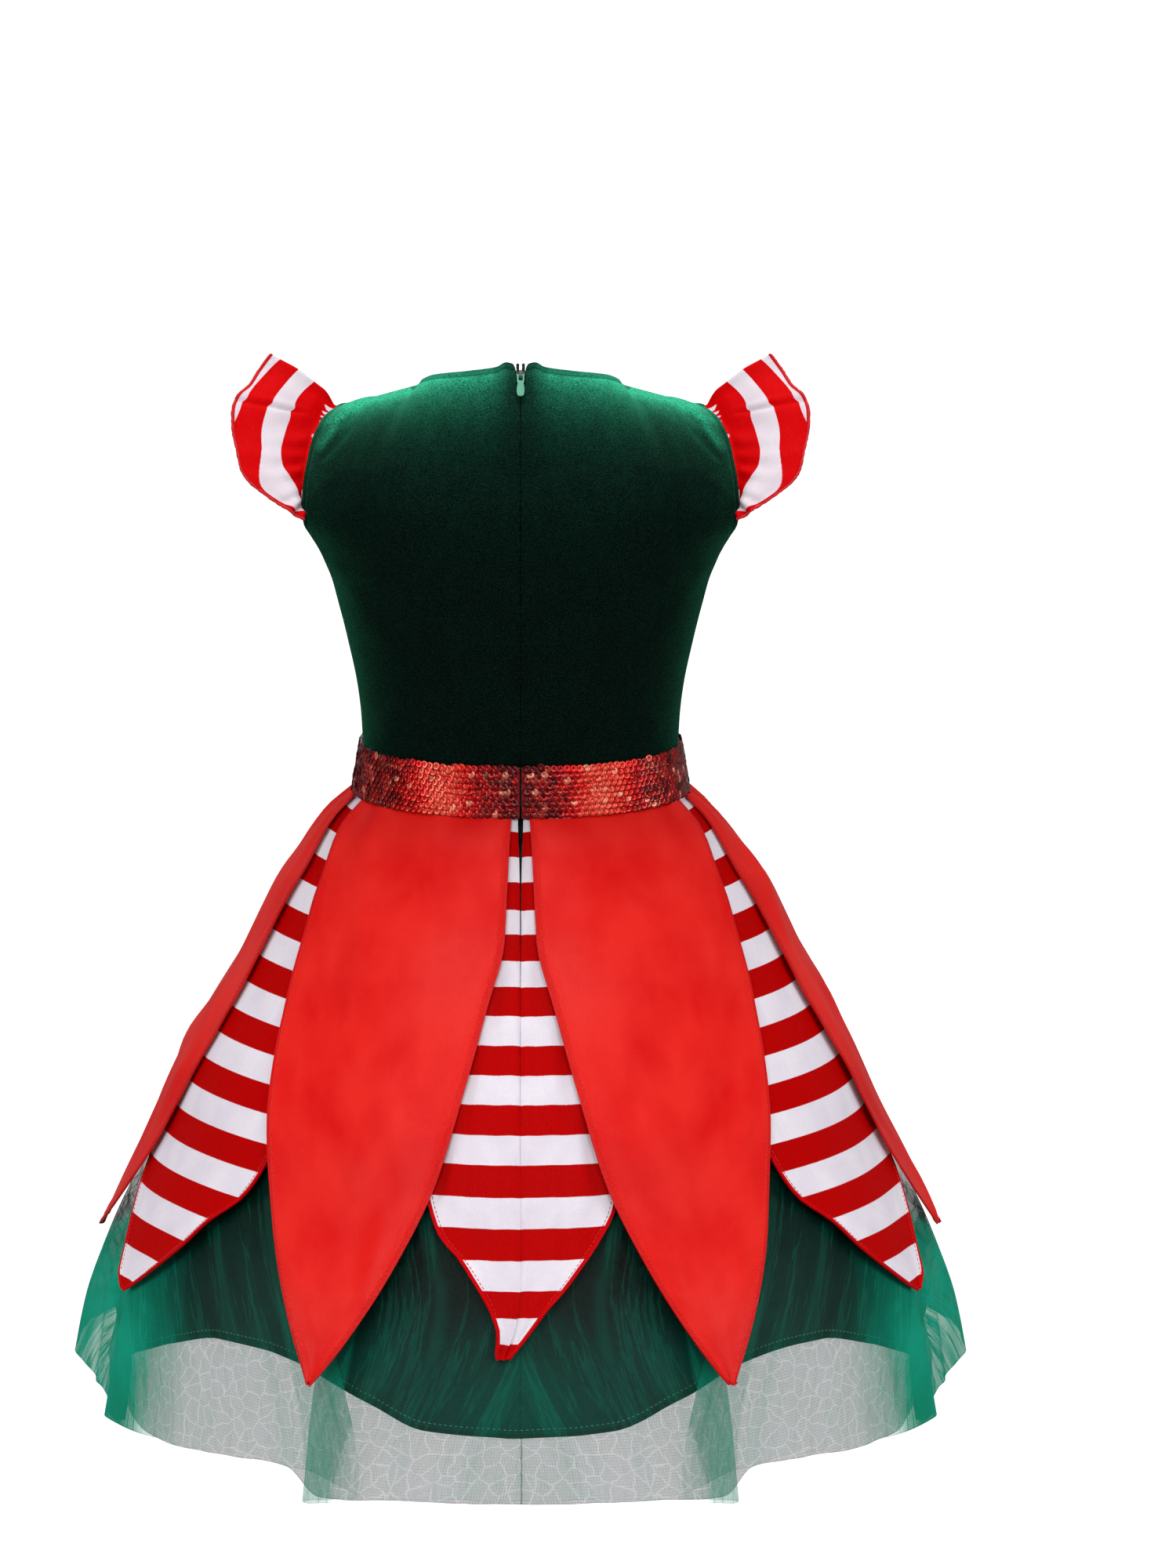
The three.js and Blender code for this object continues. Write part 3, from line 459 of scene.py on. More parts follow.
def shell(name, g, thick, material, lie=0.0, outward=None, attributes=None):
    """A closed thin shell on a grid. lie is where the grid lies in it: 0 for the outside, 0.5 for the middle."""
    rows, cols = g.shape[:2]
    turn = facing(g, outward)
    n = grid_normals(g) * turn
    t = np.broadcast_to(np.asarray(thick, float), (rows, cols))[..., None]
    verts = np.concatenate([(g + n * t * lie).reshape(-1, 3), (g + n * t * (lie - 1)).reshape(-1, 3)])
    idx = np.arange(rows * cols).reshape(rows, cols)
    inn = idx + rows * cols
    q = lambda a, b, c, d: np.stack([a, b, c, d], -1).reshape(-1, 4)
    parts = [
        q(idx[:-1, :-1], idx[1:, :-1], idx[1:, 1:], idx[:-1, 1:]),
        q(inn[:-1, :-1], inn[:-1, 1:], inn[1:, 1:], inn[1:, :-1]),
        q(idx[0, :-1], idx[0, 1:], inn[0, 1:], inn[0, :-1]),
        q(idx[-1, 1:], idx[-1, :-1], inn[-1, :-1], inn[-1, 1:]),
        q(idx[1:, 0], idx[:-1, 0], inn[:-1, 0], inn[1:, 0]),
        q(idx[:-1, -1], idx[1:, -1], inn[1:, -1], inn[:-1, -1]),
    ]
    faces = np.concatenate(parts)
    if turn < 0:
        faces = faces[:, ::-1]
    marks = border_marks(rows, cols).ravel()
    sharp = np.concatenate([marks, marks * 2])
    own = {k: np.concatenate([v.reshape(rows * cols, -1)] * 2).squeeze() for k, v in (attributes or {}).items()}
    return build(name, verts, faces, material, own, sharp)


def ply(name, g, material, outward=None, attributes=None):
    """One ply of see-through cloth: an open sheet."""
    rows, cols = g.shape[:2]
    idx = np.arange(rows * cols).reshape(rows, cols)
    faces = np.stack([idx[:-1, :-1], idx[1:, :-1], idx[1:, 1:], idx[:-1, 1:]], -1).reshape(-1, 4)
    if facing(g, outward) < 0:
        faces = faces[:, ::-1]
    own = {k: v.reshape(rows * cols, -1).squeeze() for k, v in (attributes or {}).items()}
    return build(name, g.reshape(-1, 3), faces, material, own)


def resample(line, pitch, start=0.0, extra=None):
    """Points, tangents (and extra values) at an even pitch along a polyline."""
    d = np.concatenate([[0], np.cumsum(np.linalg.norm(np.diff(line, axis=0), axis=1))])
    at = np.arange(start, d[-1], pitch)
    f = lambda values: np.stack([np.interp(at, d, values[:, i]) for i in range(values.shape[1])], 1)
    p = f(line)
    ahead = np.stack([np.interp(at + 0.2, d, line[:, i]) for i in range(3)], 1)
    behind = np.stack([np.interp(at - 0.2, d, line[:, i]) for i in range(3)], 1)
    t = ahead - behind
    t /= np.linalg.norm(t, axis=1, keepdims=True).clip(1e-9)
    return p, t, None if extra is None else f(extra)


def stitches(name, lines, material, pitch=2.6, length=1.9, width=0.34, height=0.2):
    """Thread stitches along lines of (points, normals): each a small rounded bar. One joined mesh."""
    verts, faces, count = [], [], 0
    ring = np.array([[0, -1], [0.75, -0.4], [0.75, 0.5], [0, 1], [-0.75, 0.5], [-0.75, -0.4]])
    for line, normals in lines:
        p, t, n = resample(line, pitch, 0.6, normals)
        n /= np.linalg.norm(n, axis=1, keepdims=True).clip(1e-9)
        s = np.cross(t, n)
        k = len(p)
        rings = []
        for where, size in ((-0.5, 0.35), (-0.28, 1.0), (0.28, 1.0), (0.5, 0.35)):
            centre = p + t * length * where + n * (height * (1.0 if size > 0.5 else 0.2))
            rings.append(
                centre[:, None]
                + s[:, None] * (ring[:, 0] * width * 0.66 * size)[None, :, None]
                + n[:, None] * (ring[:, 1] * width * 0.5 * size)[None, :, None]
            )
        block = np.stack(rings, 1).reshape(k, 24, 3)
        base = count + np.arange(k)[:, None, None] * 24
        quads = []
        for r in range(3):
            for i in range(6):
                j = (i + 1) % 6
                quads.append([r * 6 + i, r * 6 + j, r * 6 + 6 + j, r * 6 + 6 + i])
        for r in (0, 18):
            o = [r, r + 1, r + 2, r + 3], [r, r + 3, r + 4, r + 5]
            quads.extend([list(reversed(x)) for x in o] if r == 0 else [list(x) for x in o])
        faces.append((base + np.array(quads)[None]).reshape(-1, 4))
        verts.append(block.reshape(-1, 3))
        count += k * 24
    return build(name, np.concatenate(verts), np.concatenate(faces), material)


def tube(name, line, radius, material, sides=6, attributes=None, pitch=1.5, wobble=0.0, seed=1):
    """A rolled edge or cord along a polyline, closed at both ends."""
    p, t, _ = resample(line, pitch)
    rng = np.random.default_rng(seed)
    up = np.array([0.0, 0.0, 1.0])
    a = np.cross(t, up)
    a /= np.linalg.norm(a, axis=1, keepdims=True).clip(1e-9)
    b = np.cross(a, t)
    r = radius * (1 + wobble * rng.uniform(-1, 1, len(p)))
    r[0] *= 0.4
    r[-1] *= 0.4
    ang = np.arange(sides) / sides * 2 * PI
    rings = p[:, None] + r[:, None, None] * (a[:, None] * np.cos(ang)[None, :, None] + b[:, None] * np.sin(ang)[None, :, None])
    k = len(p)
    verts = np.concatenate([rings.reshape(-1, 3), p[:1], p[-1:]])
    idx = np.arange(k * sides).reshape(k, sides)
    nxt = np.roll(idx, -1, axis=1)
    quads = np.stack([idx[:-1], nxt[:-1], nxt[1:], idx[1:]], -1).reshape(-1, 4)
    c0, c1 = k * sides, k * sides + 1
    caps0 = np.stack([np.full(sides, c0), nxt[0], idx[0]], -1)
    caps1 = np.stack([np.full(sides, c1), idx[-1], nxt[-1]], -1)
    tris = np.concatenate([quads[:, [0, 1, 2]], quads[:, [0, 2, 3]], caps0, caps1])
    return build(name, verts, tris, material)


# ---------------------------------------------------------------- materials
class Look:
    """Builds one procedural material."""

    def __init__(self, name):
        self.material = bpy.data.materials.new(name)
        self.material.use_nodes = True
        self.tree = self.material.node_tree
        self.tree.nodes.clear()

    def node(self, kind, inputs=None, **settings):
        n = self.tree.nodes.new(kind)
        for k, v in settings.items():
            setattr(n, k, v)
        for k, v in (inputs or {}).items():
            if isinstance(v, bpy.types.NodeSocket):
                self.tree.links.new(v, n.inputs[k])
            else:
                n.inputs[k].default_value = v
        return n

    def math(self, op, a, b=0.0, c=0.0, clamp=False):
        return self.node("ShaderNodeMath", {0: a, 1: b, 2: c}, operation=op, use_clamp=clamp).outputs[0]

    def vector(self, op, a, b=(0, 0, 0)):
        return self.node("ShaderNodeVectorMath", {0: a, 1: b}, operation=op).outputs[0]

    def scaled(self, v, by):
        return self.node("ShaderNodeVectorMath", {0: v, 3: by}, operation="SCALE").outputs[0]

    def read(self, name):
        return self.node("ShaderNodeAttribute", attribute_name=name, attribute_type="GEOMETRY")

    def split(self, v):
        return self.node("ShaderNodeSeparateXYZ", {0: v}).outputs

    def noise(self, v, scale, detail=3.0, rough=0.55, distortion=0.0):
        return self.node(
            "ShaderNodeTexNoise",
            {"Vector": v, "Scale": scale, "Detail": detail, "Roughness": rough, "Distortion": distortion},
        ).outputs[0]

    def range(self, v, a, b, c=0.0, d=1.0, kind="LINEAR"):
        return self.node(
            "ShaderNodeMapRange",
            {"Value": v, "From Min": a, "From Max": b, "To Min": c, "To Max": d},
            interpolation_type=kind,
        ).outputs[0]

    def mix(self, factor, a, b, blend="MIX"):
        n = self.node("ShaderNodeMix", {0: factor, 6: a, 7: b}, data_type="RGBA", blend_type=blend)
        return n.outputs[2]

    def bump(self, height, strength, distance, normal=None):
        inputs = {"Height": height, "Strength": strength, "Distance": distance}
        if normal is not None:
            inputs["Normal"] = normal
        return self.node("ShaderNodeBump", inputs).outputs[0]

    def finish(self, shader_inputs):
        b = self.node("ShaderNodeBsdfPrincipled", shader_inputs)
        self.node("ShaderNodeOutputMaterial", {"Surface": b.outputs[0]})
        return self.material


def rgb(r, g, b, a=1.0):
    """sRGB 0-255 to linear."""
    f = lambda c: (c / 255) / 12.92 if c <= 10.31475 else (((c / 255) + 0.055) / 1.055) ** 2.4
    return (f(r), f(g), f(b), a)


def velvet_look():
    m = Look("green_velvet")
    cloth = m.read("cloth").outputs["Vector"]
    painted_highlight_map = m.read("painted_highlight_map").outputs["Fac"]  # painted highlight along the shoulders, standing in for the top lamp's sheen
    x, y, edge = m.split(cloth)
    pile = m.noise(m.vector("MULTIPLY", cloth, (1.0, 0.85, 1.0)), 1.25, 1.5, 0.5)
    fine = m.noise(cloth, 2.4, 1.0, 0.5)
    broad = m.noise(cloth, 0.035, 3.0, 0.55)
    brush = m.noise(m.vector("MULTIPLY", cloth, (1.0, 0.3, 1.0)), 0.09, 3.0, 0.6)
    speck = m.range(m.math("ADD", m.math("MULTIPLY", pile, 0.7), m.math("MULTIPLY", fine, 0.3)), 0.38, 0.62)
    tone = m.math("MULTIPLY", m.math("POWER", speck, 1.6), m.range(broad, 0.3, 0.7, 0.75, 1.15), clamp=True)
    colour = m.mix(tone, rgb(0, 3, 2), rgb(3, 30, 22))
    colour = m.mix(m.range(brush, 0.5, 0.75, 0.0, 0.25), colour, rgb(3, 26, 18))
    # painted highlight: the lit colour laid over the base where the shoulders are painted lighter
    painted_highlight_colour = m.mix(speck, rgb(16, 118, 86), rgb(70, 218, 168))
    painted_shine = m.math("MULTIPLY", painted_highlight_map, m.range(brush, 0.3, 0.7, 0.8, 1.15), clamp=True)
    colour = m.mix(painted_shine, colour, painted_highlight_colour)
    # the turned-in edges are sewn down a few millimetres in
    inside = m.range(edge, 3.2, 5.2, 1.0, 0.0, "SMOOTHSTEP")
    line = m.math("SUBTRACT", 1.0, m.range(m.math("ABSOLUTE", m.math("SUBTRACT", edge, 4.4)), 0.0, 1.3, 0.0, 1.0, "SMOOTHSTEP"))
    colour = m.mix(m.math("MULTIPLY", inside, 0.5), colour, rgb(4, 34, 25))
    colour = m.mix(m.math("MULTIPLY", line, 0.5), colour, rgb(1, 12, 8))
    height = m.math("ADD", m.math("MULTIPLY", pile, 0.7), m.math("MULTIPLY", fine, 0.3))
    height = m.math("SUBTRACT", height, m.math("MULTIPLY", line, 0.35))
    normal = m.bump(height, 0.9, 0.0009)
    return m.finish(
        {
            "Base Color": colour,
            "Roughness": m.range(speck, 0, 1, 0.95, 0.75),
            "Specular IOR Level": 0.05,
            "Sheen Weight": 0.36,
            "Sheen Roughness": 0.26,
            "Sheen Tint": rgb(60, 226, 164),
            "Normal": normal,
        }
    )


def painted_highlight_of(g, face):
    """Painted highlight: how much lighter the velvet's colour is painted along the shoulders, where the top lamp
    catches it, dying away downwards, and along two crease ridges.
    """
    x = np.abs(g[..., 0])
    fall = arc(g, 0)
    fall = fall[-1:] - fall  # down from the neck and shoulder edge
    strong = np.interp(x, [0, 6, 10, 16, 28, 42, 52, 60, 72, 85, 96, 106, 125], [0.02, 0.06, 0.2, 0.34, 0.4, 0.52, 0.8, 0.95, 0.95, 1.0, 0.85, 0.6, 0.3])
    out = 1.7 * strong * np.exp(-np.maximum(fall - 5.0, 0) / 12.0) + 0.05 * np.exp(-np.maximum(fall - 4.0, 0) / 45)
    # painted highlight along two crease ridges near the armhole
    for a, b in (((98, -13), (112, -31)), ((84, -7), (112, -20))):
        out = out + 0.3 * ridge(np.stack([x, g[..., 1], g[..., 2]], -1), a, b, 2.0)
    return out * (1.0 if face < 0 else 0.8)


def weave(m, x, y, pitch):
    """Height of a satin weave: long floats in one direction, broken in the other."""
    warp = m.math("ABSOLUTE", m.math("SINE", m.math("MULTIPLY", x, PI / pitch)))
    weft = m.math("ABSOLUTE", m.math("SINE", m.math("ADD", m.math("MULTIPLY", y, PI / (pitch * 4)), m.math("MULTIPLY", x, PI / (pitch * 2.5)))))
    return m.math("ADD", m.math("MULTIPLY", warp, 0.6), m.math("MULTIPLY", weft, 0.4))


def red_satin_look():
    m = Look("red_satin")
    cloth = m.read("cloth").outputs["Vector"]
    x, y, edge = m.split(cloth)
    threads = weave(m, x, y, 0.42)
    slub = m.noise(m.vector("MULTIPLY", cloth, (0.25, 1.6, 1.0)), 0.9, 3.0, 0.6)
    broad = m.noise(cloth, 0.022, 3.0, 0.5)
    colour = m.mix(m.range(broad, 0.34, 0.66), rgb(220, 13, 10), rgb(235, 37, 29))
    colour = m.mix(m.range(slub, 0.35, 0.75, 0.0, 0.2), colour, rgb(212, 6, 6))
    hem = m.math("SUBTRACT", 1.0, m.range(edge, 1.8, 2.4, 0.0, 1.0, "SMOOTHSTEP"))
    colour = m.mix(m.math("MULTIPLY", hem, 0.6), colour, rgb(192, 6, 8))
    height = m.math("ADD", m.math("MULTIPLY", threads, 0.15), m.math("MULTIPLY", slub, 0.4))
    grain = m.noise(cloth, 1.1, 2.0, 0.6)
    height = m.math("ADD", height, m.math("MULTIPLY", grain, 0.6))
    pucker = m.noise(m.vector("MULTIPLY", cloth, (1.0, 1.0, 1.0)), 0.32, 2.0, 0.5)
    near = m.range(edge, 1.0, 9.0, 1.0, 0.0, "SMOOTHSTEP")
    height = m.math("ADD", height, m.math("MULTIPLY", m.math("MULTIPLY", pucker, near), 5.0))
    normal = m.bump(height, 0.35, 0.0005)
    return m.finish(
        {
            "Base Color": colour,
            "Roughness": m.range(slub, 0.3, 0.7, 0.34, 0.44),
            "Specular IOR Level": 0.16,
            "Anisotropic": 0.35,
            "Sheen Weight": 0.03,
            "Sheen Roughness": 0.5,
            "Sheen Tint": rgb(255, 80, 60),
            "Normal": normal,
        }
    )


def striped_look(name, hem_at=2.2, whites=(rgb(226, 217, 229), rgb(242, 236, 244)), inks=(rgb(192, 0, 1), rgb(174, 0, 0))):
    m = Look(name)
    cloth = m.read("cloth").outputs["Vector"]
    stripe = m.read("stripe").outputs["Fac"]
    x, y, edge = m.split(cloth)
    wander = m.math("MULTIPLY", m.math("SUBTRACT", m.noise(cloth, 1.4, 2.0, 0.5), 0.5), 0.03)
    at = m.math("ADD", stripe, wander)
    part = m.math("FRACT", m.math("MULTIPLY", at, 0.5))
    red = m.math("MULTIPLY", m.range(part, 0.494, 0.506), 1.0)
    red = m.math("MULTIPLY", red, m.range(part, 0.994, 1.0, 1.0, 0.5))
    red = m.math("MAXIMUM", red, m.range(part, 0.0, 0.006, 0.5, 0.0))
    threads = weave(m, x, y, 0.42)
    slub = m.noise(m.vector("MULTIPLY", cloth, (0.3, 1.4, 1.0)), 0.8, 3.0, 0.6)
    broad = m.noise(cloth, 0.03, 3.0, 0.5)
    white = m.mix(m.range(broad, 0.3, 0.7), whites[0], whites[1])
    white = m.mix(m.range(slub, 0.35, 0.75, 0.0, 0.3), white, rgb(214, 202, 216))
    ink = m.mix(m.range(slub, 0.3, 0.7), inks[0], inks[1])
    colour = m.mix(red, white, ink)
    hem = m.math("SUBTRACT", 1.0, m.range(edge, hem_at - 0.5, hem_at, 0.0, 1.0, "SMOOTHSTEP"))
    colour = m.mix(hem, colour, m.mix(m.range(slub, 0.3, 0.7), rgb(208, 4, 10), rgb(184, 2, 8)))
    height = m.math("ADD", m.math("MULTIPLY", threads, 0.5), m.math("MULTIPLY", slub, 0.5))
    pucker = m.noise(cloth, 0.35, 2.0, 0.5)
    near = m.range(edge, 1.0, 8.0, 1.0, 0.0, "SMOOTHSTEP")
    height = m.math("ADD", height, m.math("MULTIPLY", m.math("MULTIPLY", pucker, near), 4.0))
    return m.finish(
        {
            "Base Color": colour,
            "Roughness": m.range(slub, 0.3, 0.7, 0.42, 0.55),
            "Specular IOR Level": 0.03,
            "Anisotropic": 0.3,
            "Normal": m.bump(height, 0.3, 0.0005),
        }
    )


def green_satin_look():
    m = Look("green_satin")
    cloth = m.read("cloth").outputs["Vector"]
    x, y, edge = m.split(cloth)
    threads = weave(m, x, y, 0.45)
    slub = m.noise(m.vector("MULTIPLY", cloth, (1.2, 0.25, 1.0)), 0.6, 3.0, 0.6)
    broad = m.noise(m.vector("MULTIPLY", cloth, (1.0, 0.4, 1.0)), 0.02, 3.0, 0.5)
    colour = m.mix(m.range(broad, 0.3, 0.7), rgb(0, 40, 34), rgb(2, 52, 45))
    # painted shade: the satin is painted darker towards its left and right sides
    spot = m.node("ShaderNodeTexCoord").outputs["Object"]
    painted_side_shade = m.range(m.math("ABSOLUTE", m.split(spot)[0]), 0.05, 0.14, 0.0, 0.85, "SMOOTHSTEP")
    colour = m.mix(painted_side_shade, colour, rgb(0, 9, 8))
    colour = m.mix(m.range(slub, 0.35, 0.75, 0.0, 0.3), colour, rgb(0, 36, 31))
    # painted shadow: the satin is painted nearly black up towards the waist, under the petals, away from its hem
    colour = m.mix(m.range(edge, 12, 84, 0.0, 0.97, "SMOOTHSTEP"), colour, rgb(0, 5, 5))
    hem = m.math("SUBTRACT", 1.0, m.range(edge, 2.2, 2.8, 0.0, 1.0, "SMOOTHSTEP"))
    loops = m.math("ABSOLUTE", m.math("SINE", m.math("MULTIPLY", x, PI / 1.5)))
    colour = m.mix(m.math("MULTIPLY", hem, m.range(loops, 0, 1, 0.7, 0.95)), colour, rgb(2, 30, 22))
    height = m.math("ADD", m.math("MULTIPLY", threads, 0.4), m.math("MULTIPLY", slub, 0.5))
    height = m.math("ADD", height, m.math("MULTIPLY", m.math("MULTIPLY", hem, loops), 1.2))
    return m.finish(
        {
            "Base Color": colour,
            "Roughness": m.range(slub, 0.3, 0.7, 0.45, 0.58),
            "Specular IOR Level": 0.14,
            "Anisotropic": 0.3,
            "Sheen Weight": 0.04,
            "Sheen Roughness": 0.45,
            "Sheen Tint": rgb(60, 200, 160),
            "Normal": m.bump(height, 0.3, 0.0005),
        }
    )


def mesh_look(name, dark, light, cell, alpha_low, alpha_high, tint, ripple, pleats, grain, fade):
    """Tulle or net: see-through, with the hexagons of its mesh, crumple and slow changes of density."""
    m = Look(name)
    cloth = m.read("cloth").outputs["Vector"]
    x, y, edge = m.split(cloth)
    holes = m.node(
        "ShaderNodeTexVoronoi",
        {"Vector": cloth, "Scale": 1.0 / cell, "Randomness": 0.12},
        feature="DISTANCE_TO_EDGE",
        voronoi_dimensions="2D",
    ).outputs["Distance"]
    thread = m.range(holes, 0.02, 0.16, 1.0, 0.0, "SMOOTHSTEP")
    bent = m.vector("ADD", cloth, m.scaled(m.node("ShaderNodeTexNoise", {"Vector": cloth, "Scale": 0.05, "Detail": 2.0}).outputs["Color"], 14.0))
    cells = m.node(
        "ShaderNodeTexVoronoi",
        {"Vector": bent, "Scale": 0.11, "Randomness": 1.0},
        feature="DISTANCE_TO_EDGE",
        voronoi_dimensions="2D",
    ).outputs["Distance"]
    lines = m.range(cells, 0.0, 0.09, 1.0, 0.0, "SMOOTHSTEP")
    broad = m.noise(m.vector("MULTIPLY", cloth, (1.0, 0.3, 1.0)), 0.03, 3.0, 0.55)
    colour = m.mix(m.range(broad, 0.3, 0.7), dark, light)
    colour = m.mix(m.math("MULTIPLY", lines, ripple), colour, light)
    seen = m.node("ShaderNodeLayerWeight", {"Blend": 0.35}).outputs["Facing"]
    dense = m.read("dense").outputs["Fac"]
    base = m.math("ADD", alpha_low, m.math("MULTIPLY", dense, alpha_high - alpha_low))
    base = m.math("MULTIPLY", base, m.range(edge, 45, 110, 1.0, fade, "SMOOTHSTEP"))  # it thins where it lies close on the satin
    cover = m.math("ADD", m.math("MULTIPLY", base, m.range(thread, 0, 1, 1 - grain, 1 + grain)), m.math("MULTIPLY", lines, -0.4 * ripple))
    cover = m.math("ADD", cover, m.math("MULTIPLY", m.math("SUBTRACT", broad, 0.5), 0.06))
    # fold lines, where two or three plies lie over each other
    drawn = m.noise(m.vector("ADD", m.vector("MULTIPLY", cloth, (0.11, 0.007, 0.0)), m.scaled(cloth, 0.002)), 1.0, 4.0, 0.6)
    folded = m.range(m.math("ABSOLUTE", m.math("SUBTRACT", drawn, 0.5)), 0.0, 0.035, 1.0, 0.0, "SMOOTHSTEP")
    wide = m.range(m.noise(m.vector("MULTIPLY", cloth, (0.05, 0.004, 0.0)), 1.0, 2.0, 0.5), 0.5, 0.62, 0.0, 1.0, "SMOOTHSTEP")
    folded = m.math("ADD", m.math("MULTIPLY", folded, 0.6), m.math("MULTIPLY", wide, 0.4))
    amount = m.math("MULTIPLY", m.range(dense, 0, 1, 0.35, 1.0), pleats)
    cover = m.math("ADD", cover, m.math("MULTIPLY", folded, amount))
    rim = m.range(edge, 0.0, 1.2, 0.1, 0.0)
    cover = m.math("ADD", cover, m.math("ADD", rim, m.math("MULTIPLY", m.math("POWER", seen, 3.0), 0.4)), clamp=True)
    height = m.math("ADD", thread, m.math("MULTIPLY", lines, 2.0 * ripple))
    return m.finish(
        {
            "Base Color": colour,
            "Roughness": m.range(thread, 0, 1, 0.85, 0.7),
            "Specular IOR Level": 0.15,
            "Sheen Weight": 0.12,
            "Sheen Roughness": 0.5,
            "Sheen Tint": tint,
            "Alpha": cover,
            "Normal": m.bump(height, 0.25, 0.0004),
        }
    )


def sequin_look():
    m = Look("red_sequins")
    own = m.read("own").outputs["Vector"]  # each sequin's own place, and how far out on it
    a, b, r = m.split(own)
    pick = m.node("ShaderNodeTexWhiteNoise", {"Vector": m.node("ShaderNodeCombineXYZ", {0: a, 1: b}).outputs[0]}, noise_dimensions="3D")
    value = pick.outputs["Value"]
    painted_reflection = m.read("painted_reflection").outputs["Fac"]  # painted reflection: how bright this part of the band is painted, in place of the lamps' reflections
    drift = m.noise(m.vector("MULTIPLY", own, (0.16, 0.13, 0.0)), 1.0, 2.0, 0.5)
    painted_light_level = m.math("ADD", painted_reflection, m.math("MULTIPLY", m.math("SUBTRACT", drift, 0.5), 0.5))
    painted_light_level = m.math("ADD", painted_light_level, m.math("MULTIPLY", m.math("SUBTRACT", value, 0.5), 0.42), clamp=True)
    # painted light and shade: dark red where the band is painted as shaded, orange-pink where painted as lit, in
    # patches
    colour = m.mix(m.range(painted_light_level, 0.0, 0.45), rgb(84, 0, 4), rgb(222, 10, 10))
    colour = m.mix(m.range(painted_light_level, 0.45, 1.0), colour, rgb(244, 92, 70))
    # painted glints on a few sequins
    painted_glint = m.range(value, 0.93, 0.95, 0.0, 0.75)
    colour = m.mix(painted_glint, colour, rgb(255, 158, 128))
    # painted shade at each sequin's outer rim, where the next one overlaps
    painted_rim_shade = m.range(r, 0.78, 1.0, 0.0, 1.0, "SMOOTHSTEP")
    colour = m.mix(m.math("MULTIPLY", painted_rim_shade, 0.62), colour, rgb(70, 0, 3))
    faint = m.noise(own, 2.4, 2.0, 0.5)
    return m.finish(
        {
            "Base Color": colour,
            "Metallic": 0.5,
            "Roughness": m.range(faint, 0.3, 0.7, 0.24, 0.34),
            "Specular IOR Level": 0.25,
            "Coat Weight": 0.22,
            "Coat Roughness": 0.1,
            "Normal": m.bump(m.math("ADD", faint, m.math("MULTIPLY", painted_rim_shade, 1.0)), 0.15, 0.0002),
        }
    )


def plain_weave_look(name, dark, light, pitch=0.6, roughness=(0.75, 0.9)):
    m = Look(name)
    cloth = m.read("cloth").outputs["Vector"]
    x, y, edge = m.split(cloth)
    a = m.math("SINE", m.math("MULTIPLY", x, PI / pitch))
    b = m.math("SINE", m.math("MULTIPLY", y, PI / pitch))
    grain = m.math("MULTIPLY", m.math("ADD", m.math("MULTIPLY", a, b), 1.0), 0.5)
    soft = m.noise(cloth, 0.5, 3.0, 0.6)
    colour = m.mix(m.math("ADD", m.math("MULTIPLY", grain, 0.5), m.math("MULTIPLY", soft, 0.5)), dark, light)
    return m.finish(
        {
            "Base Color": colour,
            "Roughness": m.range(grain, 0, 1, roughness[1], roughness[0]),
            "Specular IOR Level": 0.25,
            "Sheen Weight": 0.2,
            "Normal": m.bump(grain, 0.4, 0.0002),
        }
    )


def thread_look(name, dark, light):
    m = Look(name)
    place = m.node("ShaderNodeTexCoord").outputs["Object"]
    ply_ = m.node("ShaderNodeTexWave", {"Vector": place, "Scale": 700.0, "Distortion": 2.0, "Detail": 2.0}, bands_direction="DIAGONAL").outputs["Fac"]
    soft = m.noise(place, 260.0, 2.0, 0.5)
    colour = m.mix(m.math("ADD", m.math("MULTIPLY", ply_, 0.6), m.math("MULTIPLY", soft, 0.4)), dark, light)
    return m.finish(
        {
            "Base Color": colour,
            "Roughness": m.range(ply_, 0, 1, 0.72, 0.55),
            "Specular IOR Level": 0.3,
            "Sheen Weight": 0.3,
            "Normal": m.bump(ply_, 0.4, 0.0001),
        }
    )


def enamel_look(name, dark, light, gloss=1.0):
    m = Look(name)
    place = m.node("ShaderNodeTexCoord").outputs["Object"]
    spots = m.noise(place, 900.0, 3.0, 0.6)
    orange = m.noise(place, 2600.0, 2.0, 0.5)
    edge_ = m.node("ShaderNodeNewGeometry").outputs["Pointiness"]
    # lighter on the sharp edges
    sharp_edge_lightening = m.range(edge_, 0.52, 0.6, 0.0, 0.35)
    colour = m.mix(m.range(spots, 0.3, 0.7), dark, light)
    colour = m.mix(sharp_edge_lightening, colour, m.mix(0.35, light, rgb(190, 215, 200)))
    return m.finish(
        {
            "Base Color": colour,
            "Metallic": 0.0,
            "Roughness": m.range(orange, 0.3, 0.7, 0.34, 0.48),
            "Specular IOR Level": 0.35 * gloss,
            "Coat Weight": 0.2 * gloss,
            "Coat Roughness": 0.25,
            "Normal": m.bump(orange, 0.15, 0.0001),
        }
    )


VELVET = velvet_look()
RED = red_satin_look()
STRIPED = striped_look("striped_satin")
STRIPED_SLEEVE = striped_look("striped_satin_frill", 1.6, (rgb(218, 202, 212), rgb(238, 227, 235)), (rgb(216, 0, 5), rgb(200, 0, 3)))
GREEN_SATIN = green_satin_look()
TULLE_LOOK = mesh_look("green_tulle", rgb(0, 132, 102), rgb(4, 154, 126), 1.3, 0.02, 0.92, rgb(60, 230, 180), 0.04, 0.42, 0.18, 0.34)
NET_LOOK = mesh_look("grey_net", rgb(90, 86, 92), rgb(121, 118, 125), 1.6, 0.64, 0.72, rgb(205, 205, 210), 0.24, 0.0, 0.08, 1.0)
SEQUIN = sequin_look()
BAND_CLOTH = plain_weave_look("red_band_cloth", rgb(96, 4, 8), rgb(150, 12, 14))
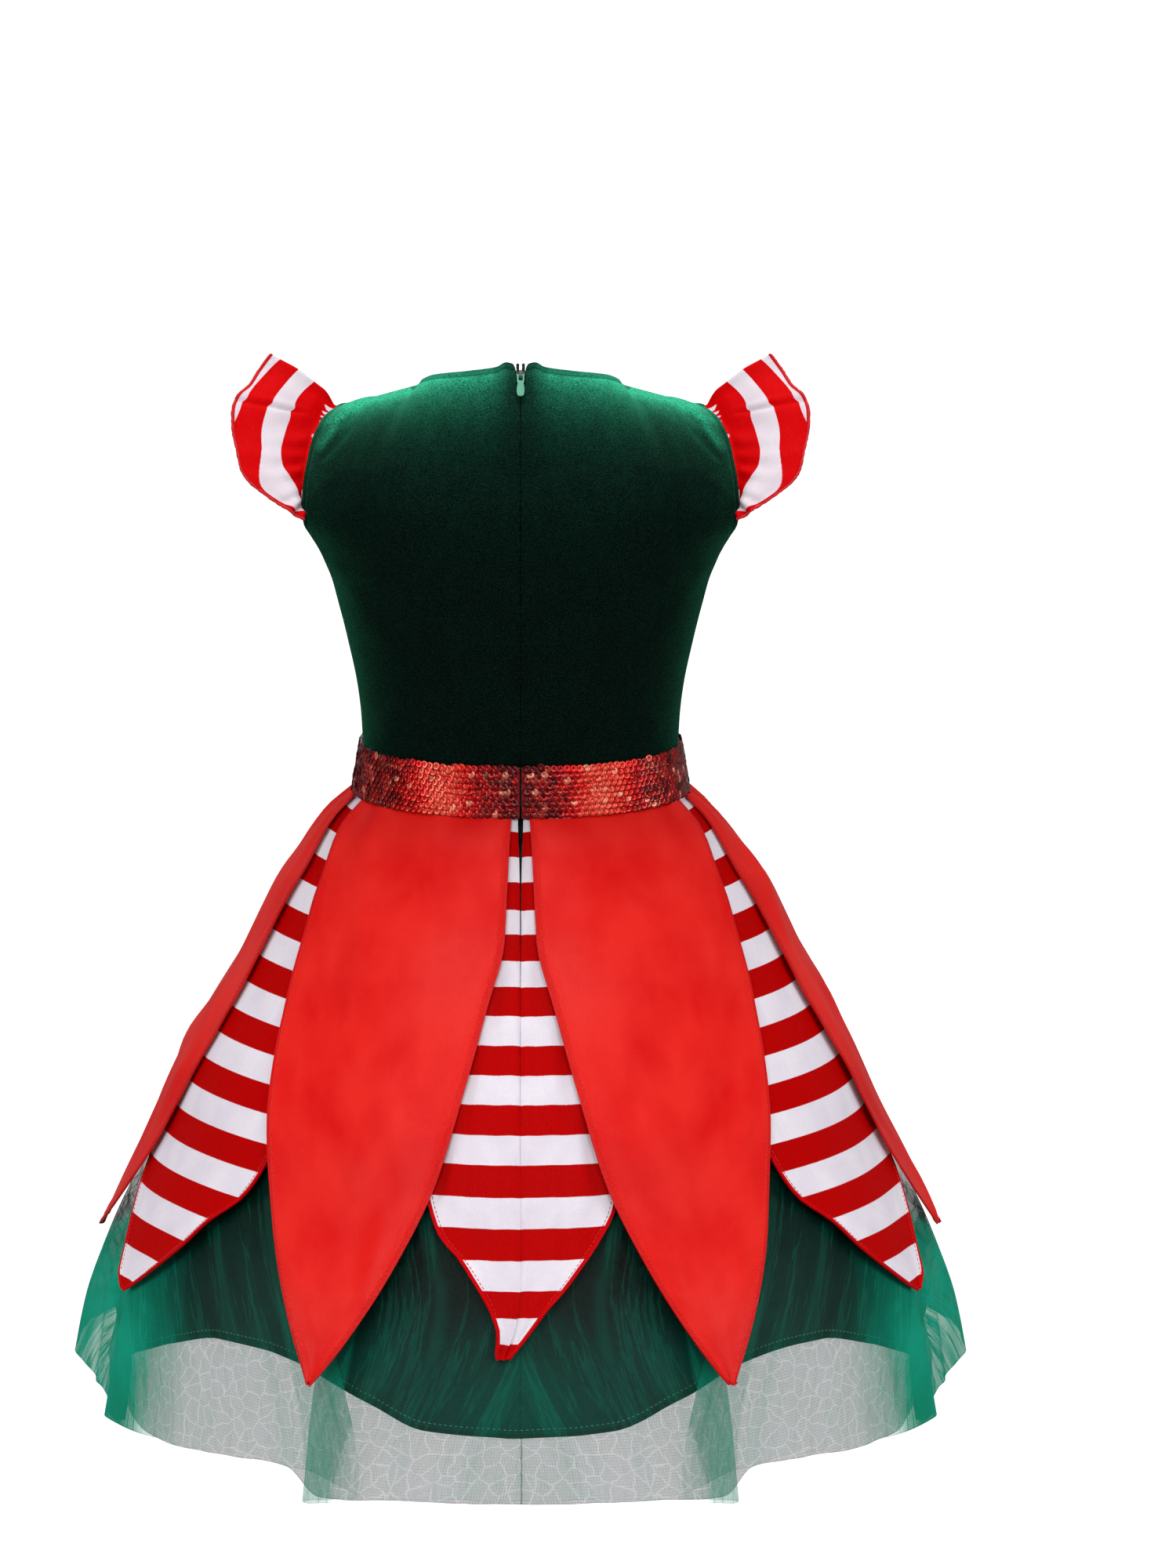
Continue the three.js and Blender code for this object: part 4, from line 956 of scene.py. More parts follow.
TAPE_LOOK = plain_weave_look("zip_tape_weave", rgb(2, 28, 18), rgb(10, 62, 42), 0.5)
THREAD_RED = thread_look("red_thread", rgb(178, 2, 6), rgb(222, 12, 16))
THREAD_GREEN = thread_look("green_thread", rgb(2, 26, 18), rgb(10, 60, 44))
THREAD_PALE = thread_look("pale_green_thread", rgb(30, 104, 80), rgb(92, 160, 132))
THREAD_WHITE = thread_look("white_thread", rgb(205, 200, 206), rgb(245, 243, 246))
COIL = thread_look("green_coil", rgb(2, 22, 16), rgb(8, 48, 34))
PAINT = enamel_look("green_enamel", rgb(20, 120, 88), rgb(46, 158, 120))
DARK_PAINT = enamel_look("dark_green_metal", rgb(3, 20, 13), rgb(18, 48, 34), 0.4)


# ---------------------------------------------------------------- fixed sampling
def ends(n, power=0.55):
    """n places from 0 to 1, closer together at both ends."""
    t = np.linspace(0, 1, n)
    return lerp(t, 0.5 - 0.5 * np.cos(PI * t), power)


def ridge(p, a, b, width, taper=0.25):
    """Strength of a crease between two points seen from behind (x, z), fading at its ends."""
    a, b = np.array(a, float), np.array(b, float)
    q = np.stack([p[..., 0], p[..., 2]], -1)
    ab = b - a
    t = ((q - a) * ab).sum(-1) / (ab @ ab)
    d = np.linalg.norm(q - (a + np.clip(t, 0, 1)[..., None] * ab), axis=-1)
    fade = smooth((t + taper) / (2 * taper)) * smooth((1 + taper - t) / (2 * taper))
    return np.exp(-((d / width) ** 2)) * fade


def cloth_map(g, edge=None):
    across, along = arc(g, 1), arc(g, 0)
    across = across - across[:, across.shape[1] // 2][:, None]
    return np.stack([across, along, np.full(across.shape, 60.0) if edge is None else edge], -1)


def place(o, nodes, slot_name, body="dress"):
    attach(o, body)
    if nodes:
        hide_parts(*nodes)
    return o


# ---------------------------------------------------------------- bodice
def bodice_panel(face, side, u, up):
    g = bodice(face, u[None, :], up[:, None])
    g = relax(g, 14)
    if side:
        d = arc(g, 1)  # from the middle
        g[..., 0] = np.maximum(g[..., 0], zip_slit(-g[..., 2])) if face < 0 else g[..., 0]
    return g


UP = np.concatenate([np.linspace(0, 0.5, 44)[:-1], np.linspace(0.5, 0.75, 26)[:-1], 0.75 + 0.25 * ends(40, 0.4)])
U = ends(84, 0.45)
velvet_pieces = []
neck_lines, arm_lines = [], {}
for word, side in (("left", -1), ("right", 1)):
    g = bodice_panel(-1, side, U, UP)
    n = grid_normals(g) * facing(g)
    neck = g[-1, U <= NECK_SHARE]
    arm = g[UP >= 0.5][:, -1]
    edge = np.minimum(distance_to(g, neck), distance_to(g, arm))
    inside = np.minimum(arc(g, 1), 30)
    dip = 0.5 * (g[..., 2] < 3) + 0.15
    g = g - n * (dip * np.exp(-((inside / 1.2) ** 2)))[..., None]  # the centre back edges turn in over the zip
    for a, b, w, deep in (
        ((98, -13), (112, -31), 2.2, 1.7),
        ((94, -19), (111, -36), 2.4, -1.5),
        ((88, -11), (106, -22), 2.0, -1.3),
        ((84, -7), (110, -19), 2.0, 1.3),
        ((97, -41), (112, -50), 3.0, 0.6),
        ((104, -96), (84, -118), 6.0, 0.8),
        ((99, -112), (70, -140), 8.0, 0.5),
        ((77, -190), (64, -168), 5.0, 1.0),
        ((72, -196), (52, -176), 6.0, -0.6),
        ((30, -198), (27, -168), 6.0, -0.45),
        ((86, -178), (4, -179.5), 0.9, 0.22),
    ):
        extra = 1.0 if side < 0 else 0.85
        g = g + n * (deep * extra * ridge(g, a, b, w))[..., None]
    g[..., 0] *= side
    o = shell(f"bodice_back_{word}", g, 1.1, VELVET, attributes={"cloth": cloth_map(g, edge), "painted_highlight_map": painted_highlight_of(g, -1)})
    place(o, [f"bodice_back_{word}"], "green_velvet")
    velvet_pieces.append(o)
U2 = np.concatenate([-ends(70, 0.4)[::-1][:-1], ends(70, 0.4)])
g = bodice(1, np.abs(U2)[None, :], UP[:, None])
g[..., 0] *= np.sign(U2)[None, :]
g = relax(g, 14)
n = grid_normals(g) * facing(g)
neck = g[-1, np.abs(U2) <= NECK_SHARE]
edge = np.minimum(distance_to(g, neck), np.minimum(distance_to(g, g[UP >= 0.5][:, 0]), distance_to(g, g[UP >= 0.5][:, -1])))
for a, b, w, deep in (
    ((-98, -9), (-110, -30), 3.4, 1.1),
    ((99, -8), (110, -31), 3.2, 1.2),
    ((-100, -98), (-74, -124), 7.0, 0.8),
    ((101, -97), (78, -120), 6.5, 0.9),
    ((-40, -196), (-36, -158), 7.0, 0.5),
    ((52, -198), (46, -164), 6.0, 0.5),
    ((8, -199), (10, -176), 5.0, 0.35),
):
    g = g + n * (deep * ridge(g, a, b, w))[..., None]
o = shell("bodice_front", g, 1.1, VELVET, attributes={"cloth": cloth_map(g, edge), "painted_highlight_map": painted_highlight_of(g, 1)})
place(o, ["bodice_front"], "green_velvet")

# ---------------------------------------------------------------- waistband
band_outer = {}
for name, face, side in (("waistband_back_left", -1, -1), ("waistband_back_right", -1, 1), ("waistband_front", 1, 0)):
    fall = np.linspace(0, 1, 12)
    if side:
        u = np.linspace(0, 1, 60)
        g = band(face, u[None, :], fall[:, None])
        g[..., 0] = np.maximum(g[..., 0], 0.6) * side
    else:
        u = np.linspace(-1, 1, 120)
        g = band(face, np.abs(u)[None, :], fall[:, None])
        g[..., 0] *= np.sign(u)[None, :]
    n = grid_normals(g) * facing(g)
    g = g - n * 0.5
    band_outer[name] = (g, n)
    o = shell(name, g, 0.9, BAND_CLOTH, attributes={"cloth": cloth_map(g)})
    place(o, [name], "red_sequins")


def sequin_mesh(name, face, side, seed):
    """Overlapping round sequins in staggered rows, sewn flat through their middle hole."""
    rng = np.random.default_rng(seed)
    segs = 12
    rings = ((0.3, 0.0, -1.0), (1.6, 0.04, -0.4), (2.6, 0.12, 0.0))  # radius, how far it cups back, how high its hole sits
    verts, own, painted_reflections, faces, count = [], [], [], [], 0
    rows = 9
    for r in range(rows - 1, -1, -1):
        fall = (r + 0.3) / rows
        u = np.linspace(0, 1, 400) if side else np.linspace(-1, 1, 800)
        line = band(face, np.abs(u), np.full(len(u), fall))
        line[:, 0] *= side if side else np.sign(u)
        d = np.concatenate([[0], np.cumsum(np.linalg.norm(np.diff(line, axis=0), axis=1))])
        k = int(d[-1] / 3.7)
        first = 3.7 if side else 2.0
        at = first + (np.arange(k) + (0.5 if r % 2 else 0.0)) * (d[-1] - 2.0 - first) / (k - 0.5)
        p = np.stack([np.interp(at, d, line[:, i]) for i in range(3)], 1)
        q = np.stack([np.interp(at + 0.5, d, line[:, i]) for i in range(3)], 1)
        t = q - p
        t /= np.linalg.norm(t, axis=1, keepdims=True).clip(1e-9)
        down = np.array([0.0, 0.0, -1.0])
        n = np.cross(t, down)
        n *= np.sign((n * (p * [1, 1, 0])).sum(1, keepdims=True))
        n /= np.linalg.norm(n, axis=1, keepdims=True)
        low = np.cross(n, t)
        low *= np.sign(low @ down)[:, None]
        for i in range(k):
            patch = math.sin(at[i] * 0.085 + 0.5 * r + seed) + 0.7 * math.sin(at[i] * 0.19 + 1.3 * seed)
            tilt = 0.17 + rng.normal(0, 0.055) + 0.07 * patch + (0.25 if rng.random() < 0.07 else 0.0)
            roll = (side or 1) * 0.13 + rng.normal(0, 0.06) + 0.05 * math.sin(at[i] * 0.09 + 2.1 * seed)
            ll = low[i] * math.cos(tilt) + n[i] * math.sin(tilt)
            nn = n[i] * math.cos(tilt) - low[i] * math.sin(tilt)
            tt = t[i] * math.cos(roll) + nn * math.sin(roll)
            nn = nn * math.cos(roll) - t[i] * math.sin(roll)
            c = p[i] + n[i] * (0.8 + rng.uniform(-0.06, 0.06)) + t[i] * rng.normal(0, 0.16) + low[i] * rng.normal(0, 0.38 if r == 0 else 0.14)
            ang = (np.arange(segs) + rng.random()) / segs * 2 * PI
            out = [
                c + ll * lift + rad_ * (np.cos(ang)[:, None] * tt + np.sin(ang)[:, None] * ll) - nn * cup for rad_, cup, lift in rings
            ]
            back = [x - nn * 0.14 for x in out]
            block = np.concatenate(out + back[::-1])
            m = len(out) * 2
            verts.append(block)
            key = np.array([at[i] * 0.37 + 3.1 * face + side, r * 1.9])
            rr = [x[0] / 2.6 for x in rings]
            own.append(np.column_stack([np.repeat(key[None], m * segs, 0), np.repeat(rr + rr[::-1], segs)]))
            # painted reflection along the band: brightest about 45 mm out from the middle, a little near the sides
            painted_shine = 0.05 + 0.8 * math.exp(-(((abs(p[i, 0]) - 45) / 17) ** 2)) + 0.1 * math.exp(-(((abs(p[i, 0]) - 84) / 8) ** 2))
            painted_reflections.append(np.full(m * segs, painted_shine))
            idx = np.arange(m * segs).reshape(m, segs) + count
            nxt = np.roll(idx, -1, axis=1)
            down_rows = np.roll(idx, -1, axis=0)
            down_next = np.roll(nxt, -1, axis=0)
            faces.append(np.stack([idx, down_rows, down_next, nxt], -1).reshape(-1, 4))
            count += m * segs
    return build(name, np.concatenate(verts), np.concatenate(faces), SEQUIN, {"own": np.concatenate(own), "painted_reflection": np.concatenate(painted_reflections)})


for name, face, side, seed in (
    ("waistband_back_left", -1, -1, 11),
    ("waistband_back_right", -1, 1, 12),
    ("waistband_front", 1, 0, 13),
):
    o = sequin_mesh("sequins_" + name[10:], face, side, seed)
    place(o, [], "red_sequins")

# ---------------------------------------------------------------- cap sleeves
frill_at = [curve(FRILL, i) for i in range(1, 8)]
frill_crest = curve(FRILL_CREST, 1)


def frill(side, s, v):
    s, v = np.broadcast_arrays(s, v)
    half = np.where(s <= 0.5, s * 2, (1 - s) * 2)
    hem_x, hem_y, hem_z, seam_z, *changes = (f(half) for f in frill_at)
    pts = []
    for face in (-1, 1):
        ups = np.linspace(0.55, 1, 400)
        line = bodice(face, np.ones_like(ups), ups)
        up = np.interp(seam_z, line[:, 2], ups)
        edge = bodice(face, np.ones_like(up), up)
        before = bodice(face, np.full_like(up, 0.97), up)
        after = bodice(face, np.ones_like(up), np.minimum(up + 0.004, 1.0))
        under = bodice(face, np.ones_like(up), np.minimum(up + 0.004, 1.0) - 0.008)
        away = edge - before
        away /= np.linalg.norm(away, axis=-1, keepdims=True).clip(1e-9)
        out = np.cross(away, after - under)
        out *= np.sign(out[..., 1:2] * face)
        out /= np.linalg.norm(out, axis=-1, keepdims=True).clip(1e-9)
        hem = pack(hem_x, -face * hem_y, hem_z)
        if face > 0:  # the front half hangs a little closer, behind the crest
            hem = hem - np.array([7.0, 0.0, 9.0]) * smooth((1 - half) * 7)[..., None]
        pts.append(np.stack([edge - away * 0.2 - out * 0.5, hem, edge - away * 2.4 - out * 1.3]))
    back = (s <= 0.5)[None, ..., None]
    seam, hem, tuck = np.where(back, pts[0], pts[1])
    p = seam + (hem - seam) * v[..., None]
    crest = smooth((half - 0.55) / 0.45)
    p = p + np.array([0.3, 0, 0.95]) * (frill_crest(v) * (0.12 + 0.88 * crest))[..., None]
    p[..., 1] += np.where(s <= 0.5, -1, 1) * 3.2 * np.sin(PI * v) * (1 - crest)
    n = grid_normals(p) * facing(p, (0.3, 0, 0.95))
    # gathers run out from the seam and fade, unevenly spaced and deep
    gather = (
        np.sin(s * 104 + 1.3 * np.sin(s * 23)) * 0.55 + np.sin(s * 61 + 2.0) * 0.6
    ) * 1.25 * np.exp(-v * 3.4) * smooth(v * 8)
    wave = np.sin(s * PI * 12) * 1.2 * v * np.sin(PI * np.clip(s, 0, 1))
    lap = 0.9 * np.sin(s * 33 + 0.8) * v**2 * np.sin(PI * np.clip(s, 0, 1))
    ends_ = np.exp(-((half / 0.16) ** 2))
    curl = 2.4 * np.sin(half * 2 * PI / 0.13 + 0.9) * ends_ * smooth(v * 1.6)
    crease = np.where(s <= 0.5, half, 2.0)
    fold = (-1.0 * np.exp(-(((crease - 0.765) / 0.012) ** 2)) + 0.7 * np.exp(-(((crease - 0.80) / 0.02) ** 2))) * smooth(v * 2.2)
    soft = 0.8 * np.sin(v * 5.0 + s * 9.0) * np.sin(PI * v)
    p = p + n * (wave + lap + gather + fold + curl + soft)[..., None]
    # its raw end lies tucked under the edge of the velvet
    p = np.where((v < 1e-6)[..., None], tuck, p)
    width = np.linalg.norm(hem - seam, axis=-1)
    kink = 0.9 * np.tanh((crease - 0.775) / 0.006) * np.exp(-(((crease - 0.775) / 0.03) ** 2))
    at = v * width
    wander = 0.7 * np.sin(half * 19 + 1.0) * np.exp(-(((at - changes[0]) / 6) ** 2))
    at = at + kink + wander
    # a few scallops of the next white stripe show beside the seam below the crest
    for where, wide, deep in ((0.92, 0.018, 2.8), (0.865, 0.012, 1.9), (0.815, 0.013, 1.5), (0.66, 0.014, 0.9)):
        at = at - deep * np.exp(-(((half - where) / wide) ** 2)) * np.exp(-((v * width / 5.0) ** 2))
    one, two, three = changes
    stripe = 1 + np.where(
        at < one, at / one, np.where(at < two, 1 + (at - one) / (two - one), np.where(at < three, 2 + (at - two) / (three - two), 3 + (at - three) / 12))
    )
    p[..., 0] *= side
    return p, stripe


for word, side in (("left", -1), ("right", 1)):
    s = np.linspace(0, 1, 230)
    v = np.concatenate([[0.0], np.linspace(0.02, 0.93, 38), [0.955, 0.975, 0.99, 1.0]])
    g, stripe = frill(side, s[None, :], v[:, None])
    edge = distance_to(g, g[-1])
    thick = 0.5 + 0.5 * (edge < 1.7)
    o = shell(
        f"sleeve_{word}", g, thick, STRIPED_SLEEVE, lie=0.5, outward=(side * 0.3, 0, 0.95), attributes={"cloth": cloth_map(g, edge), "stripe": stripe}
    )
    place(o, [f"sleeve_{word}"], "striped_satin")
    n = grid_normals(g) * facing(g, (side * 0.3, 0, 0.95))
    roll = tube(f"sleeve_{word}_rolled_hem", g[-1], 0.75, THREAD_RED, sides=7, pitch=1.2, wobble=0.25, seed=5 + side)
    place(roll, [], "striped_satin")


# ---------------------------------------------------------------- petals
def hem_columns(width, inner):
    """Places across a row of this width, in millimetres from its near edge: close at both hems."""
    near = np.array([0, 0.7, 1.5, 2.3, 3.2, 5.0, 8.0])
    span = near[-1]
    if width < 2.6 * span:
        near = near * width / (2.6 * span)
        span = near[-1]
    mid = np.linspace(span, width - span, inner + 2)[1:-1]
    return np.concatenate([near, mid, width - near[::-1]])


def petal_rows(tip, count=52):
    top = np.linspace(0.25, 1, count)
    rows = (top - top[0]) / (1 - top[0]) * (tip - 9)
    rows[0] = 0.25
    return np.concatenate([rows, tip - np.array([7.6, 6.2, 5, 3.8, 2.9, 2.1, 1.4, 0.7, 0.0])])


def petal_grid(rows_table, layer, inner, relief, near_col=1, far_col=2, near_fn=None):
    near = near_fn or curve(rows_table, near_col)
    far = curve(rows_table, far_col)
    tip = rows_table[-1][0]
    downs = petal_rows(tip)
    grid, share = [], []
    for down in downs:
        a, b = float(near(down)), float(far(down))
        radius = float(flare(down)) - float(LAYER_IN[layer](down))
        width = abs(np.radians(b - a)) * radius
        f = hem_columns(width, inner) / width
        grid.append((lerp(a, b, f), np.full(len(f), down), f))
    phi, down, f = (np.stack([x[i] for x in grid]) for i in range(3))
    out = relief(phi, down, f)
    g = skirt(phi, down, -LAYER_IN[layer](down) + out)
    return g, phi, down, f


def petal_edges(g):
    """The hemmed outline: down one side, round the tip and up the other."""
    return np.concatenate([g[:, 0], g[-1], g[::-1, -1]])


def petal_piece(name, g, material, nodes, slot_name, stripe=None, seam_side=None, thread=THREAD_RED):
    line = petal_edges(g)
    if seam_side == "near":
        line = np.concatenate([g[-1], g[::-1, -1]])
    elif seam_side == "far":
        line = np.concatenate([g[:, 0], g[-1]])
    edge = distance_to(g, line)
    thick = 0.55 + 0.55 * (edge < 2.35)
    n = grid_normals(g) * facing(g)
    attributes = {"cloth": cloth_map(g, edge)}
    if stripe is not None:
        attributes["stripe"] = stripe
    o = shell(name, g + n * (0.45 * (edge < 2.35))[..., None], thick, material, attributes=attributes)
    place(o, nodes, slot_name)
    lines = []
    for cols, use in (((4, 5), seam_side != "near"), ((-5, -6), seam_side != "far")):
        if use:
            a, b = g[:-4, cols[0]], g[:-4, cols[1]]
            mid = a * 0.9 + b * 0.1
            lines.append((mid[2:], n[:-4, cols[0]][2:]))
    st = stitches(name + "_stitches", lines, thread)
    place(st, [], slot_name)
    return o


def red_relief(seed, twist):
    rng = np.random.default_rng(seed)
    ph = rng.uniform(0, 6, 6)
    rng_at = np.column_stack([rng.uniform(0.12, 0.88, 9), np.linspace(22, 250, 9) + rng.uniform(-14, 14, 9)])
    rng_of = np.column_stack(
        [rng.uniform(-0.7, 0.7, 9), rng.uniform(16, 44, 9), rng.uniform(6.0, 13.0, 9), rng.uniform(1.3, 2.8, 9) * rng.choice([-1, 1], 9, p=[0.35, 0.65])]
    )

    def f(phi, down, share):
        c = share - 0.5
        tail = smooth((down - 60) / 200)
        gathers = (1.1 * np.sin(share * 17 + ph[0] + 0.035 * down) + 0.7 * np.sin(share * 31 + ph[1])) * np.exp(-down / 42)
        crown = 1.3 * (1 - (2 * c) ** 2) * smooth(down / 60)
        lift = tail * (1.1 * np.abs(2 * c) ** 3 * (1 + 0.5 * np.sin(down * 0.045 + ph[2])))
        drift = 0.9 * np.sin(down * 0.021 + ph[3] + c * twist) * smooth(down / 50)
        soft = 0.9 * np.sin(share * 9 + down * 0.018 + ph[4]) * smooth(down / 80)
        # slanting pulls and pressed-in folds, each its own length and depth
        pulls = 0
        for k in range(9):
            mid_s, mid_d = rng_at[k]
            lean, long_, wide, deep = rng_of[k]
            a = (share - mid_s) * 110 - lean * (down - mid_d)
            pulls = pulls + deep * np.exp(-((a / wide) ** 2) - (((down - mid_d) / long_) ** 2))
        return 0.5 + np.maximum(crown + lift + drift + soft + pulls, -0.3) + np.maximum(gathers, -0.3)

    return f


mirror = lambda rows: [(r[0], 180 - r[1], 180 - r[2]) for r in rows]
turned = lambda rows, side: [(r[0], side * r[1], side * r[2]) for r in rows]
for i, (word, rows) in enumerate((("back", PETAL_RED_BACK), ("side", PETAL_RED_SIDE), ("front", mirror(PETAL_RED_BACK)))):
    for word2, side in (("left", -1), ("right", 1)):
        name = f"petal_red_{word}_{word2}"
        g, phi, down, f = petal_grid(turned(rows, side), "petal_red", 18, red_relief(20 + 2 * i + (side > 0), 3.0))
        petal_piece(name, g, RED, [name], "red_satin")


def stripe_relief(seed):
    rng = np.random.default_rng(seed)
    ph = rng.uniform(0, 6, 4)

    def f(phi, down, share):
        c = share - 0.5
        tail = smooth((down - 120) / 140)
        drift = 0.35 * np.sin(down * 0.024 + ph[0]) + 0.35 * np.sin(share * 7 + down * 0.01 + ph[1])
        lift = tail * 1.0 * np.abs(2 * c) ** 3
        return -0.1 + np.clip(drift * smooth(down / 60), -0.5, 0.6) + lift

    return f


def slant(phi, down, layer):
    """Length of cloth from the waist down to here, along the skirt."""
    ds = np.linspace(0, 345, 700)
    line = skirt(0 * ds, ds, -LAYER_IN[layer](ds))
    d = np.concatenate([[0], np.cumsum(np.linalg.norm(np.diff(line, axis=0), axis=1))])
    return np.interp(down, ds, d)


def centre_stripe(down):
    """Even numbers are where a white stripe starts, odd ones a red."""
    at = [-6.5, 10.3] + STRIPES_CENTRE + [314, 330]
    return np.interp(slant(0, down, "petal_stripe"), at, np.arange(len(at)))


def side_stripe(phi, down):
    """The stripes of a side petal, cut on a slight slant."""
    s = slant(phi, down, "petal_stripe")
    x = 66.0 - phi
    return 0.324 + 0.05943 * s - 0.00389 * x - 0.000172 * x * x + 0.0000988 * x * s


for word, rows in (("side", PETAL_STRIPE_SIDE), ("front", mirror(PETAL_STRIPE_SIDE))):
    for word2, side in (("left", -1), ("right", 1)):
        name = f"petal_stripe_{word}_{word2}"
        rows2 = turned(rows, side)
        g, phi, down, f = petal_grid(rows2, "petal_stripe", 18, stripe_relief(40 + len(word) + side))
        from_back = np.abs(phi) if word == "side" else 180 - np.abs(phi)
        stripe = side_stripe(from_back, down)
        petal_piece(name, g, STRIPED, [name], "striped_satin", stripe)
seam_slit = curve([(0, 1.5), (8, 1.3), (17, 0.8), (30, 0.5), (55, 0.3), (95, 0.1), (345, 0.04)], 1)
for word, side in (("left", -1), ("right", 1)):
    name = f"petal_stripe_back_{word}_half"
    seam_fn = curve(PETAL_STRIPE_BACK, 2)
    near_fn = lambda d, s=side: seam_fn(d) + s * np.degrees(seam_slit(d) / (flare(d) - 3.2))
    g, phi, down, f = petal_grid(PETAL_STRIPE_BACK, "petal_stripe", 12, stripe_relief(50 + side), far_col=1 if side < 0 else 3, near_fn=near_fn)
    n = grid_normals(g) * facing(g)
    inside = arc(g, 1)
    pucker = 0.55 * np.sin(down * 0.37 + side) + 0.45 * np.sin(down * 0.23 + 2.0 + 0.25 * inside) + 0.3 * np.sin(down * 0.71)
    g = g - n * (0.7 * np.exp(-((inside / 1.6) ** 2)))[..., None]
    g = g + n * (0.8 * pucker * np.exp(-((inside / 7.0) ** 2)) * smooth(inside / 1.5) * smooth(down / 20) * (1 - 0.6 * smooth((down - 90) / 80)))[..., None]
    g = g + n * (0.5 * np.sin(inside * 0.42 + side * 0.9) * smooth(inside / 6) * smooth((down - 40) / 60))[..., None]
    stripe = centre_stripe(down)
    petal_piece(name, g, STRIPED, [name], "striped_satin", stripe, seam_side="near")
front_rows = [(r[0], 180 - (r[3] - r[1]) / 2, 180 + (r[3] - r[1]) / 2) for r in PETAL_STRIPE_BACK]
g, phi, down, f = petal_grid(front_rows, "petal_stripe", 22, stripe_relief(60))
petal_piece("petal_stripe_front", g, STRIPED, ["petal_stripe_front"], "striped_satin", centre_stripe(down))


# ---------------------------------------------------------------- satin and net
def layer_grid(layer, rows, start, stop, columns, count, relief):
    step, level = curve(rows, 1), curve(rows, 2)
    t = np.linspace(0, 1, count)
    t = lerp(t, 1 - (1 - t) ** 1.6, 0.5)
    phi = np.linspace(start, stop, columns)[None, :] + 0 * t[:, None]
    around = np.where(phi > 180, 360 - phi, np.abs(phi))
    hem = WAIST_LOW - level(around)
    down = 0.3 + (hem - 0.3) * t[:, None]
    w = fold_depth(down)
    inward = LAYER_IN[layer](down)
    first = start == 0
    if first:
        turn_ = np.sign(stop)
        free = placket_angle(down, inward)
        phi = np.where(np.abs(phi) < free, turn_ * free, phi)
        phi[:, 0] = turn_ * free[:, 0]
    g = skirt(phi, down, -inward - 0.5 + relief(phi, down, w), w * step(around))
    return g, phi, down


def lap_under(g, n, down, deep):
    """Below the placket the left edge is sewn under the right one."""
    g = g.copy()
    sewn = smooth((down - 30) / 8)
    for c, part in ((0, 1.0), (1, 0.5)):
        g[:, c] -= n[:, c] * (deep * part * sewn[:, c])[:, None]
        g[:, c, 0] += 0.9 * (1 - c) * sewn[:, c]
    return g


def folds(list_of, phi, down, w):
    """Soft pleats, listed one by one: (angle, width in degrees, height, from depth)."""
    total = 0 * phi
    for at, width, height, start in list_of:
        away = (phi - at + 180) % 360 - 180
        total = total + height * np.exp(-((away / width) ** 2)) * smooth((down - start) / 70)
    return total


SATIN_FOLDS = [
    (-63, 2.4, 0.9, 150),
    (-38, 3.0, -0.8, 190),
    (-29, 1.8, 0.8, 205),
    (-17, 2.2, -0.6, 200),
    (-1.5, 1.2, 0.9, 215),
    (7, 1.6, 0.5, 225),
    (14, 2.4, -0.6, 190),
    (23, 2.0, 0.7, 210),
    (41, 3.0, -0.7, 190),
    (58, 2.2, 0.9, 160),
    (83, 2.6, 0.7, 150),
    (-86, 2.4, 0.8, 160),
    (104, 2.6, 0.9, 150),
    (131, 2.2, -0.7, 180),
    (149, 2.4, 0.8, 190),
    (172, 2.0, 0.7, 200),
    (196, 2.6, -0.6, 170),
    (213, 2.2, 0.8, 190),
    (236, 2.6, 0.7, 160),
    (258, 2.2, -0.7, 180),
]
for name, start, stop, cols in (("back_left", 0, -90, 110), ("back_right", 0, 90, 110), ("front", 90, 270, 210)):
    g, phi, down = layer_grid("satin", SATIN, start, stop, cols, 60, lambda p, d, w: folds(SATIN_FOLDS, p, d, w))
    edge = distance_to(g, g[-1])
    n = grid_normals(g) * facing(g)
    if name == "back_left":
        g = lap_under(g, n, down, 0.62)
    thick = 0.5 + 0.5 * np.exp(-((edge / 1.6) ** 4))
    o = shell("satin_" + name, g, thick, GREEN_SATIN, lie=0.5, attributes={"cloth": cloth_map(g, edge)})
    place(o, ["satin_" + name], "green_satin")
    total = arc(g, 0)[-1][None] - arc(g, 0)
    line, norm = [], []
    for c in range(g.shape[1]):
        line.append([np.interp(4.4, total[::-1, c], g[::-1, c, k]) for k in range(3)])
        norm.append([np.interp(4.4, total[::-1, c], n[::-1, c, k]) for k in range(3)])
    line, norm = np.array(line), np.array(norm)
    norm /= np.linalg.norm(norm, axis=1, keepdims=True)
    st = stitches(f"satin_{name}_hem_stitches", [(line + norm * 0.25, norm)], THREAD_PALE, pitch=2.9, length=1.5, width=0.36)
    place(st, [], "green_satin")

NET_FOLDS = [
    (-75, 1.6, 1.2, 210),
    (-49, 1.4, -1.0, 230),
    (-22, 1.6, 1.0, 240),
    (-7, 1.3, -0.8, 250),
    (11, 1.4, 0.9, 240),
    (26, 1.5, -0.9, 230),
    (37, 1.4, 1.0, 230),
    (56, 1.6, -0.9, 220),
    (78, 1.5, 1.1, 200),
    (98, 1.5, 1.0, 210),
    (121, 1.4, -1.0, 230),
    (141, 1.6, 1.1, 220),
    (163, 1.4, -0.9, 240),
    (186, 1.5, 0.9, 230),
    (209, 1.6, -1.0, 220),
    (231, 1.4, 1.0, 230),
    (252, 1.5, 1.0, 210),
]


def net_relief(p, d, w):
    fine = 0.5 * np.sin(np.radians(p) * 31 + 0.9 * np.sin(d * 0.03)) + 0.35 * np.sin(np.radians(p) * 53 + 1.4)
    return folds(NET_FOLDS, p, d, w) + fine * w * 0.8


